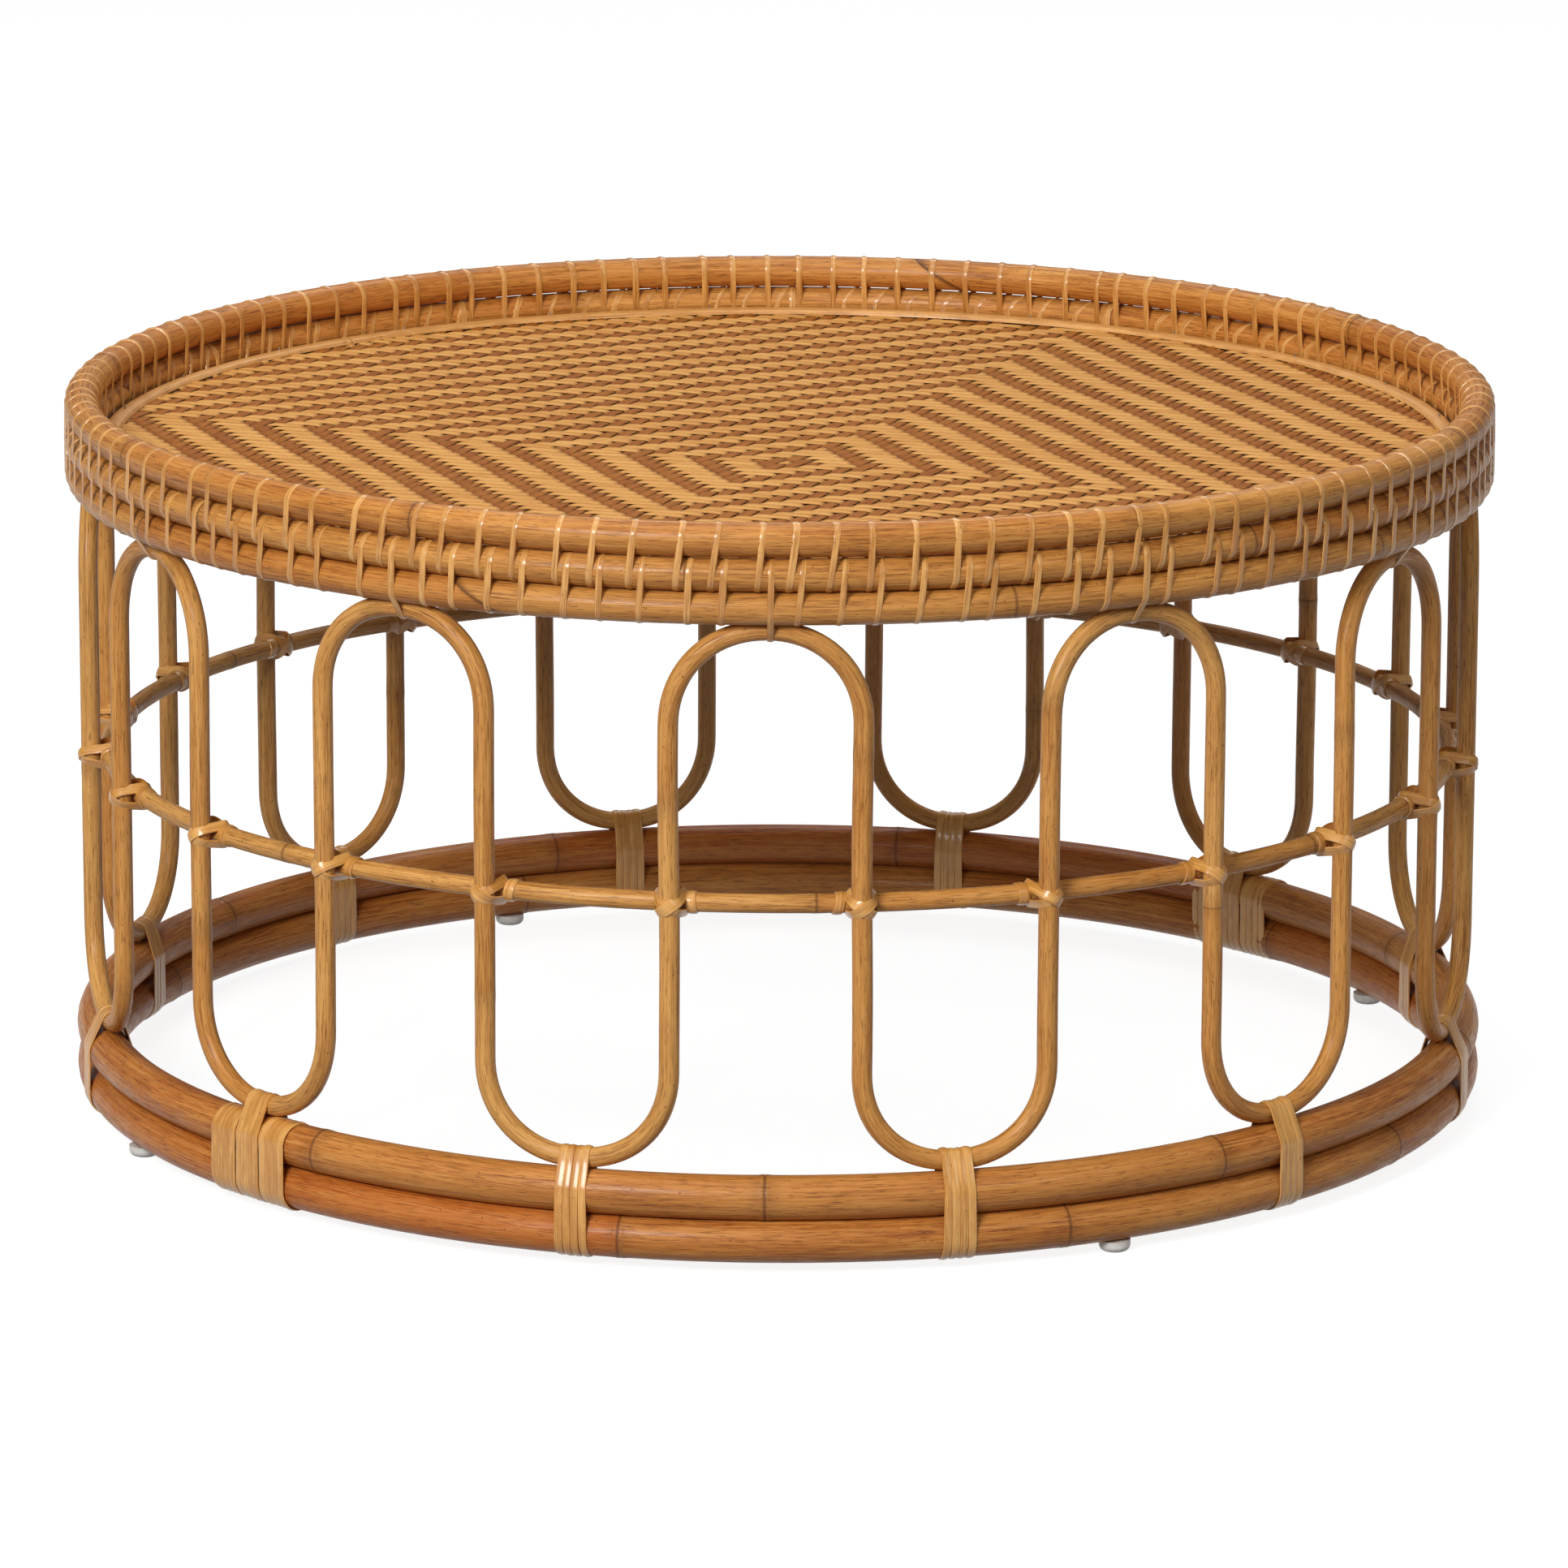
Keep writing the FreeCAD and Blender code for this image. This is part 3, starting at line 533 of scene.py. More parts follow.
class Piece:
    """One mesh in the making: stock is bent into it, then it is dressed as an object of the table."""

    def __init__(self, name: str) -> None:
        """Open an empty mesh."""
        self.name = name
        self.mesh = bmesh.new()
        self.cane = self.mesh.verts.layers.float_vector.new("cane")
        # The attribute's three numbers are distance to a joint, a random tint and painted shade.
        self.wear = self.mesh.verts.layers.float_vector.new("wear")

    def bend(
        self,
        run: Run,
        outline: np.ndarray,
        wear: np.ndarray,
        start: float,
        skew: Optional[np.ndarray] = None,
    ) -> None:
        """Bend one length of stock along a run.

        Args:
            run: The line and its axes.
            outline: Section as (steps or 1, corners, 2), side and out, going round once.
            wear: Distance to a joint, tint and painted shade, for each step or for all, as (steps or 1, 3).
            start: Length that the grain starts at.
            skew: Slope of the section along the line at each step, for slanted ends.
        """
        steps = len(run.points)
        outline = np.broadcast_to(outline, (steps, *outline.shape[1:]))
        loop = np.concatenate((outline, outline[:, :1]), axis=1)
        corners = loop.shape[1]
        made = bmesh.ops.create_grid(self.mesh, x_segments=steps - 1, y_segments=corners - 1, size=1.0)
        verts = made["verts"]
        place = (
            run.points[:, None]
            + run.side[:, None] * loop[:, :, :1]
            + run.out[:, None] * loop[:, :, 1:]
        )
        if skew is not None:
            place = place + run.tangents()[:, None] * (skew[:, None, None] * loop[:, :, :1])
        length = np.broadcast_to((run.lengths() + start)[:, None, None], (steps, corners, 1))
        cane = np.concatenate((length, loop), axis=2)
        marked_and_shaded = np.broadcast_to(wear.reshape(-1, 1, 3), (steps, corners, 3))
        rows = zip(
            verts,
            place.transpose(1, 0, 2).reshape(-1, 3).tolist(),
            cane.transpose(1, 0, 2).reshape(-1, 3).tolist(),
            marked_and_shaded.transpose(1, 0, 2).reshape(-1, 3).tolist(),
        )
        for vert, spot, grain, vertex_marks_and_shade in rows:
            vert.co = spot
            vert[self.cane] = grain
            vert[self.wear] = vertex_marks_and_shade
        before = len(self.mesh.verts) - len(verts)
        bmesh.ops.remove_doubles(self.mesh, verts=verts, dist=MERGE)
        if not run.closed:
            self.mesh.verts.ensure_lookup_table()
            fresh = self.mesh.verts[before:]
            rims = {edge for vert in fresh for edge in vert.link_edges if edge.is_boundary}
            bmesh.ops.holes_fill(self.mesh, edges=list(rims), sides=0)

    def dress(self, finish: Finish, nodes: Sequence[str], crease: float = 48.0) -> bpy.types.Object:
        """Close the mesh and put it in the table.

        Args:
            finish: Finish of the piece.
            nodes: Frame nodes that it stands for.
            crease: Angle in degrees past which an edge stays sharp.

        Returns:
            The finished object.
        """
        bmesh.ops.recalc_face_normals(self.mesh, faces=self.mesh.faces)
        for face in self.mesh.faces:
            face.smooth = True
        data = bpy.data.meshes.new(self.name)
        self.mesh.to_mesh(data)
        self.mesh.free()
        data.set_sharp_from_angle(angle=math.radians(crease))
        data.materials.append(MATERIALS[finish])
        made = bpy.data.objects.new(self.name, data)
        bpy.context.scene.collection.objects.link(made)
        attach(made, "root")
        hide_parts(*nodes)
        log.info("%s: %d faces", self.name, len(data.polygons))
        return made


def radial(degrees: np.ndarray) -> np.ndarray:
    """Unit vectors pointing away from the axis at these angles."""
    turn = np.radians(degrees)
    return np.stack((np.cos(turn), np.sin(turn), np.zeros_like(turn)), axis=-1)


def round_outline(radius: float, corners: int) -> np.ndarray:
    """Round section."""
    turn = np.arange(corners) / corners * 2 * math.pi
    return radius * np.stack((np.cos(turn), np.sin(turn)), axis=-1)[None]


def peel_outline(width: float, thick: float, crown: float = 0.3) -> np.ndarray:
    """Flat peel section: square edges and a slightly crowned face."""
    half = width / 2
    edge = thick * (1 - crown)
    return np.array([[(-half, 0), (-0.9 * half, edge), (0, thick), (0.9 * half, edge), (half, 0)]])


def sway(turns: np.ndarray, size: float, dice: random.Random, waves: Sequence[int]) -> np.ndarray:
    """Gentle wandering round a closed ring.

    Args:
        turns: Place round the ring in whole turns.
        size: Largest reach of each wave.
        dice: Source of the waves' sizes and phases.
        waves: How many times each wave goes up and down in one turn.

    Returns:
        The offset at each place.
    """
    total = np.zeros_like(turns)
    for count in waves:
        reach = size * dice.uniform(0.4, 1.0) / len(waves)
        total += reach * np.sin(2 * math.pi * (count * turns + dice.random()))
    return total


@dataclass(frozen=True)
class Round:
    """Section of a pole or cane as a strap meets it: ring radius, level, half its depth and its height."""

    ring: float
    level: float
    depth: float
    height: float

    @classmethod
    def of(cls, node: str) -> "Round":
        """Read a ring pole from the frame."""
        low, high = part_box(node)
        radius = (high.z - low.z) / 2
        return cls(high.x - radius, (high.z + low.z) / 2, radius, radius)


def strap(rounds: Sequence[Round], clear: float, steps: int, start: float) -> tuple[np.ndarray, np.ndarray]:
    """Line of a strap pulled tight round several sections.

    Args:
        rounds: The sections it goes round.
        clear: Gap left under it.
        steps: Points round the strap.
        start: Angle in degrees, from outwards towards up, that the line starts at.

    Returns:
        Ring radius and level of each point, and the outward direction in that plane.
    """
    turn = np.radians(start) + np.linspace(0, 2 * math.pi, steps + 1)
    facing = np.stack((np.cos(turn), np.sin(turn)), axis=-1)
    centres = np.array([(r.ring, r.level) for r in rounds])
    halves = np.array([(r.depth, r.height) for r in rounds])
    spread = np.sqrt(((facing[:, None] * halves[None]) ** 2).sum(axis=2))
    reach = facing @ centres.T + spread
    best = reach.argmax(axis=1)
    rows = np.arange(len(turn))
    touch = centres[best] + halves[best] ** 2 * facing / spread[rows, best][:, None]
    return touch + clear * facing, facing


def strap_run(line: np.ndarray, facing: np.ndarray, angle: float, shift: np.ndarray) -> Run:
    """Stand a strap line up at one angle of the table.

    Args:
        line: Ring radius and level of each point.
        facing: Outward direction in the upright plane.
        angle: Angle about Z in degrees.
        shift: Sideways shift of each point, the way angles grow.

    Returns:
        The run, closed on itself.
    """
    away = radial(np.array(angle))
    aside = radial(np.array(angle + 90))
    points = line[:, :1] * away + line[:, 1:] * UP + shift[:, None] * aside
    out = facing[:, :1] * away + facing[:, 1:] * UP
    return Run(points, np.zeros_like(points), out, closed=True).squared()


# ---------------------------------------------------------------- ring poles


@dataclass
class RingPole:
    """Rattan pole bent into a ring, with a slanted scarf where its ends meet.

    sway_reach is how far it wanders, swell how much a joint stands proud, joints their angles.
    """

    name: str
    node: str
    scarf: float
    joints: Sequence[float]
    seed: int
    finish: Finish
    sway_reach: float = 0.2 * MM
    swell: float = 0.25 * MM
    corners: int = 20
    steps: int = 640
    scarf_slope: float = 1.8
    gap: float = 0.3 * MM
    plump: float = 0.0

    def build(self) -> bpy.types.Object:
        """Bend, scarf and dress the pole."""
        size = Round.of(self.node)
        dice = random.Random(self.seed)
        around = 2 * math.pi * size.ring
        angles = np.linspace(0, 360, self.steps + 1)
        near = [(joint - self.scarf) % 360 for joint in self.joints]
        extra = [spot + off for spot in near for off in (-0.5, -0.3, -0.14, -0.05, 0.05, 0.14, 0.3, 0.5)]
        angles = np.unique(np.concatenate((angles, np.clip(extra, 0.2, 359.8))))
        trim = math.degrees(self.gap / 2 / size.ring)
        angles = trim + angles * (1 - 2 * trim / 360)
        turns = angles / 360

        ring = size.ring + sway(turns, self.sway_reach, dice, (3, 5, 8, 13))
        level = size.level + sway(turns, self.sway_reach, dice, (2, 4, 7, 11))
        away = radial(angles + self.scarf)
        points = ring[:, None] * away + level[:, None] * UP
        run = Run(points, np.broadcast_to(UP, points.shape), away)

        off_joint, tint = self.joint_marks(angles, near, size.ring, dice)
        ridge = np.exp(-((off_joint / (2.6 * MM)) ** 2)) - 0.8 * np.exp(-((off_joint / (0.7 * MM)) ** 2))
        thick = 1 + sway(turns, 0.012, dice, (2, 5, 9)) + self.swell / size.depth * ridge
        oval = sway(turns, 0.02, dice, (1, 3, 4))
        outline = round_outline(size.depth + self.plump, self.corners) * thick[:, None, None]
        outline = outline * np.stack((1 + oval, 1 - oval), axis=-1)[:, None]
        outline = self.roughened(outline, turns, dice)

        from_end = np.minimum(angles, 360 - angles) / 360 * around
        skew = self.scarf_slope * np.clip(1 - from_end / (22 * MM), 0, 1)
        # Painted shade round the scarf, so the gap between the pole's ends reads as a dark crack.
        marked_and_shaded = np.exp(-((from_end / (1.5 * MM)) ** 2))
        wear = np.stack((off_joint, tint, marked_and_shaded), axis=-1)
        piece = Piece(self.name)
        piece.bend(run, outline, wear, dice.uniform(0, 9), skew)
        return piece.dress(self.finish, [self.node])

    @staticmethod
    def joint_marks(
        angles: np.ndarray, near: Sequence[float], ring: float, dice: random.Random
    ) -> tuple[np.ndarray, np.ndarray]:
        """Distance to the nearest joint, and the tint of the length between joints.

        Args:
            angles: Angle of each step from the scarf.
            near: Angle of each joint from the scarf.
            ring: Ring radius.
            dice: Source of the tints.

        Returns:
            Distance in metres and tint from 0 to 1 at each step.
        """
        spots = np.array(sorted(near))
        tints = np.array([dice.random() for _ in range(len(spots) + 1)])
        off = np.abs(angles[:, None] - spots[None]).min(axis=1)
        return np.radians(off) * ring, tints[np.searchsorted(spots, angles)]

    @staticmethod
    def roughened(outline: np.ndarray, turns: np.ndarray, dice: random.Random) -> np.ndarray:
        """Let each corner of the section wander a little along the pole, so no light runs dead straight."""
        corners = outline.shape[1]
        ripple = np.stack([sway(turns, 0.010, dice, (4, 11, 23)) for _ in range(corners)], axis=1)
        ripple = (ripple + np.roll(ripple, 1, axis=1) + np.roll(ripple, -1, axis=1)) / 3
        return outline * (1 + ripple[:, :, None])


# ---------------------------------------------------------------- tray lacing


def pair_drift(count: int) -> float:
    """Uneven spacing of the lacing, in degrees: an upper and a lower loop that stand as a pair share it."""
    return random.Random(DRIFT_SEED + count % round(360 / LOOP_STEP)).gauss(0, DRIFT)


@dataclass
class Lacing:
    """Closed loops of narrow peel round neighbouring poles.

    angles maps each loop's angle to its pair number.  lean_out and lean_in are how far a loop slants on its
    outer and inner side between its top and bottom.
    """

    name: str
    node: str
    rounds: Sequence[Round]
    angles: Mapping[float, int]
    seed: int
    width: float = 3.6 * MM
    thick: float = 0.8 * MM
    clear: float = 0.02 * MM
    lean_out: float = 3.4 * MM
    lean_in: float = 0.6 * MM
    steps: int = 22

    def build(self) -> bpy.types.Object:
        """Wind every loop and dress the lot."""
        dice = random.Random(self.seed)
        piece = Piece(self.name)
        for angle, pair in self.angles.items():
            self.loop(piece, angle + pair_drift(pair) + dice.gauss(0, 0.07), dice)
        return piece.dress(Finish.LACING, [self.node])

    def loop(self, piece: Piece, angle: float, dice: random.Random) -> None:
        """Wind one loop, starting and ending inside the tray low down."""
        line, facing = strap(self.rounds, self.clear, self.steps, 245.0)
        rise, outer = self.climb(line, facing)
        lean_out = self.lean_out * dice.uniform(0.5, 1.5)
        lean_in = self.lean_in * dice.uniform(0.7, 1.3)
        shift = (rise - 0.5) * (outer * lean_out + (1 - outer) * lean_in)
        self.lay(piece, strap_run(line, facing, angle, shift), outer, dice)

    @staticmethod
    def climb(line: np.ndarray, facing: np.ndarray) -> tuple[np.ndarray, np.ndarray]:
        """How high each point is, from 0 to 1, and how far it lies on the outer side."""
        level = line[:, 1]
        rise = (level - level.min()) / (level.max() - level.min())
        return rise, np.clip(0.5 + facing[:, 0], 0, 1)

    def lay(self, piece: Piece, run: Run, outer: np.ndarray, dice: random.Random) -> None:
        """Lay one length of peel along a run, with painted shade on its inner side."""
        width = self.width * dice.uniform(0.9, 1.12)
        outline = peel_outline(width, self.thick * dice.uniform(0.9, 1.0), 0.5)
        # Painted shade on the inner side, which faces into the shaded tray.
        shade = 0.12 * (1 - outer)
        wear = np.stack((np.ones_like(shade), np.full_like(shade, dice.random()), shade), axis=-1)
        piece.bend(run, outline, wear, dice.uniform(0, 5))


@dataclass
class WindingLacing(Lacing):
    """Lacing wound on from loop to loop: almost upright outside, slanting on to the next loop inside."""

    pitch: float = LOOP_STEP

    def loop(self, piece: Piece, angle: float, dice: random.Random) -> None:
        """Wind one turn, from the gap above the poles down the inner side and up the outer side."""
        line, facing = strap(self.rounds, self.clear, self.steps, 90.0)
        rise, outer = self.climb(line, facing)
        ring = self.rounds[0].ring
        lean_out = self.lean_out * dice.uniform(0.5, 1.5)
        whole = math.radians(self.pitch) * ring
        share = np.linspace(0, 1, len(line))
        inside = np.clip(2 * share, 0, 1) * (whole - lean_out)
        outside = np.where(share > 0.5, rise, 0) * lean_out
        run = strap_run(line, facing, angle, inside + outside - whole)
        run.closed = False
        self.lay(piece, run, outer, dice)


# ---------------------------------------------------------------- arches


@dataclass
class ArchCane:
    """One cane of the arched side: half a foot bend, a leg, the arch top, a leg and half a foot bend."""

    number: int
    seed: int = 400
    finish: Finish = Finish.ARCH
    corners: int = 14
    bend_power: float = 2.12

    @property
    def node(self) -> str:
        """Frame node that it stands for."""
        return f"arch_cane_{self.number:02d}"

    def centre(self) -> float:
        """Angle of the arch top."""
        low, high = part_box(self.node)
        middle = (low + high) / 2
        return SECTOR * round(math.degrees(math.atan2(middle.y, middle.x)) / SECTOR)

    def half_line(self, foot: float, top: float) -> np.ndarray:
        """Line of the right half, from its foot to the arch top.

        Args:
            foot: Level of the foot bend's lowest point.
            top: Level of the arch top.

        Returns:
            Rows of sideways place, measured from the arch's middle, and level.
        """
        quarter = np.linspace(0, math.pi / 2, 22)
        power = 2 / self.bend_power
        flat = np.cos(quarter) ** power
        high = np.sin(quarter) ** power
        foot_part = np.stack((2 * BEND - BEND * flat, foot + BEND - BEND * high), axis=-1)[::-1]
        leg = np.linspace(foot + BEND, top - BEND, 40)[1:-1]
        leg_part = np.stack((np.full_like(leg, BEND), leg), axis=-1)
        top_part = np.stack((BEND * flat, top - BEND + BEND * high), axis=-1)
        return np.concatenate((foot_part, leg_part, top_part))

    def build(self) -> bpy.types.Object:
        """Bend and dress the cane."""
        dice = random.Random(self.seed + self.number)
        low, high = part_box(self.node)
        centre = self.centre()
        right = self.half_line(low.z + CANE_RADIUS, high.z - CANE_RADIUS)
        line = np.concatenate((right, (right * (-1, 1))[::-1][1:]))
        aside, level = line[:, 0], line[:, 1]
        in_foot = np.abs(aside) > BEND
        angle = np.where(in_foot, np.sign(aside) * SECTOR / 2, 0.0) + centre
        across = np.where(in_foot, aside - np.sign(aside) * 2 * BEND, aside)
        points = ARCH_RING * radial(angle) + across[:, None] * radial(angle + 90) + level[:, None] * UP

        run_share = np.linspace(0, 1, len(points))
        fade = np.sin(math.pi * run_share) ** 0.5
        theta = np.degrees(np.arctan2(points[:, 1], points[:, 0]))
        points = points + (fade * sway(run_share, 0.9 * MM, dice, (2, 3, 5)))[:, None] * radial(theta + 90)
        run = Run(points, points * 0, radial(theta))
        tangents = run.tangents()
        out = run.out - (run.out * tangents).sum(axis=1)[:, None] * tangents
        run.out = out / np.linalg.norm(out, axis=1)[:, None]
        run.squared()

        length = run.lengths()
        joints = self.joint_places(length[-1], dice)
        off_joint = np.abs(length[:, None] - joints[None]).min(axis=1)
        tints = np.array([dice.random() for _ in range(len(joints) + 1)])
        tint = tints[np.searchsorted(joints, length)]
        swell = 1 + 0.035 * np.exp(-((off_joint / (3 * MM)) ** 2)) + sway(run_share, 0.012, dice, (2, 5, 9))
        outline = round_outline(CANE_RADIUS, self.corners) * swell[:, None, None]
        wear = np.stack((off_joint, tint, np.zeros_like(tint)), axis=-1)
        piece = Piece(f"arch_{self.number:02d}")
        piece.bend(run, outline, wear, dice.uniform(0, 9))
        return piece.dress(self.finish, [self.node])

    @staticmethod
    def joint_places(whole: float, dice: random.Random) -> np.ndarray:
        """Lengths at which the cane has its joints."""
        first = dice.uniform(0.08, 0.26)
        return np.array([first, first + dice.uniform(0.2, 0.3)]).clip(0, whole)


# ---------------------------------------------------------------- knots and bindings


@dataclass
class Knots:
    """Wide peel crossed over each leg and behind the hoop, with a collar round the hoop beside it."""

    width: float = 6.0 * MM
    thick: float = 0.85 * MM
    clear: float = 0.15 * MM
    steps: int = 26
    seed: int = 71

    def build(self) -> bpy.types.Object:
        """Tie all the knots."""
        dice = random.Random(self.seed)
        hoop = Round.of("middle_hoop")
        piece = Piece("hoop_knots")
        for count in range(LEGS):
            angle = FIRST_LEG + LEG_STEP * count
            from_left = math.sin(math.radians(angle + 90)) < 0
            self.crossing(piece, hoop, angle, dice)
            self.collar(piece, hoop, angle, 1 if from_left else -1, dice)
        return piece.dress(Finish.BINDING, ["crossing_bindings"])

    def crossing(self, piece: Piece, hoop: Round, angle: float, dice: random.Random) -> None:
        """Cross two bands over one leg."""
        first = dice.choice((1, -1))
        for order in range(2):
            tilt = math.radians(dice.uniform(50, 60)) * first * (1 if order == 0 else -1)
            leg = Round(LEG_RING, 0, CANE_RADIUS, CANE_RADIUS / abs(math.sin(tilt)))
            back = Round(hoop.ring, 0, hoop.depth, hoop.depth / abs(math.cos(tilt)))
            line, facing = strap([leg, back], self.clear, self.steps, 180.0)
            lift = self.thick * order * np.clip(1.25 - np.abs(line[:, 1]) / (4.2 * MM), 0, 1)
            line = line + facing * lift[:, None]
            away = radial(np.array(angle))
            aside = radial(np.array(angle + 90))
            along = UP * math.cos(tilt) + aside * math.sin(tilt)
            points = line[:, :1] * away + line[:, 1:] * along + hoop.level * UP
            out = facing[:, :1] * away + facing[:, 1:] * along
            run = Run(points, np.zeros_like(points), out, closed=True).squared()
            self.lay(piece, run, dice, self.width * dice.uniform(0.9, 1.12))

    def collar(self, piece: Piece, hoop: Round, angle: float, hand: int, dice: random.Random) -> None:
        """Wind a turn round the hoop at one side of the leg."""
        reach = dice.uniform(10.3, 11.4) * MM
        turn = angle + hand * math.degrees(reach / hoop.ring)
        section = Round(hoop.ring, hoop.level, hoop.depth, hoop.height)
        line, facing = strap([section], self.clear, 18, 180.0)
        lean = dice.uniform(-1.4, 1.4) * MM
        shift = lean * (line[:, 1] - hoop.level) / hoop.height
        self.lay(piece, strap_run(line, facing, turn, shift), dice, dice.uniform(5.4, 6.6) * MM)

    def lay(self, piece: Piece, run: Run, dice: random.Random, width: float) -> None:
        """Lay one band of peel along a run."""
        outline = peel_outline(width, self.thick * dice.uniform(0.9, 1.15), 0.35)
        wear = np.array([[1.0, dice.random(), 0.0]])
        piece.bend(run, outline, wear, dice.uniform(0, 5))


@dataclass
class Bindings:
    """Turns of peel that tie each foot bend to the base poles, and those over the poles' splices."""

    thick: float = 0.8 * MM
    clear: float = 0.03 * MM
    turns: int = 4
    pitch: float = 4.6 * MM
    splice_pitch: float = 4.9 * MM
    splice_start: float = 12.4 * MM
    steps: int = 30
    seed: int = 91

    def rounds(self, off: float) -> list[Round]:
        """Sections tied together, at a distance off the middle of the foot bend."""
        low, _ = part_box("arch_cane_01")
        level = low.z + CANE_RADIUS + off * off / (2 * BEND)
        return [*self.poles(), Round(ARCH_RING, level, CANE_RADIUS, CANE_RADIUS)]

    @staticmethod
    def poles() -> list[Round]:
        """Sections of the two base poles."""
        return [Round.of("base_upper_pole"), Round.of("base_lower_pole")]

    def build(self) -> None:
        """Wind the bindings, then the splice wraps."""
        dice = random.Random(self.seed)
        piece = Piece("foot_bindings")
        for count in range(ARCHES):
            spots = [(k - (self.turns - 1) / 2) * self.pitch for k in range(self.turns)]
            self.row(piece, SECTOR / 2 + SECTOR * count, spots, True, dice)
        piece.dress(Finish.BINDING, ["base_bindings"])
        piece = Piece("splice_turns")
        for angle in SPLICE_ANGLES:
            for hand in (-1, 1):
                spots = [hand * (self.splice_start + k * self.splice_pitch) for k in range(self.turns)]
                self.row(piece, angle, spots, False, dice)
        piece.dress(Finish.BINDING, ["splice_wraps"])

    def row(
        self, piece: Piece, angle: float, spots: Sequence[float], over_foot: bool, dice: random.Random
    ) -> None:
        """Wind neighbouring turns.

        Args:
            piece: Mesh that takes them.
            angle: Middle of the tie.
            spots: Distance of each turn from the middle.
            over_foot: Whether they go up over the foot bend.
            dice: Source of the small differences.
        """
        lean = dice.uniform(-0.5, 0.5) * MM
        for spot in spots:
            rounds = self.rounds(spot) if over_foot else self.poles()
            line, facing = strap(rounds, self.clear + dice.uniform(0, 0.25) * MM, self.steps, 250.0)
            level = line[:, 1]
            rise = (level - level.min()) / (level.max() - level.min())
            gather = -0.10 * spot * rise if over_foot else np.zeros_like(rise)
            shift = spot + gather + (lean + dice.uniform(-0.35, 0.35) * MM) * (rise - 0.5)
            run = strap_run(line, facing, angle, shift)
            width = (self.pitch if over_foot else self.splice_pitch) * dice.uniform(0.94, 1.04)
            outline = peel_outline(width, self.thick * dice.uniform(0.95, 1.2), 0.42)
            wear = np.array([[1.0, dice.random(), 0.0]])
            piece.bend(run, outline, wear, dice.uniform(0, 5))


# ---------------------------------------------------------------- woven mat


@dataclass
class StrandSet:
    """One of the mat's two sets of strands.

    go is the step along a strand to the next crossing, next_over the step to the next strand, and pale tells
    which set it is.
    """

    name: str
    finish: Finish
    go: np.ndarray
    next_over: np.ndarray
    pale: bool
    width: float
    seed: int


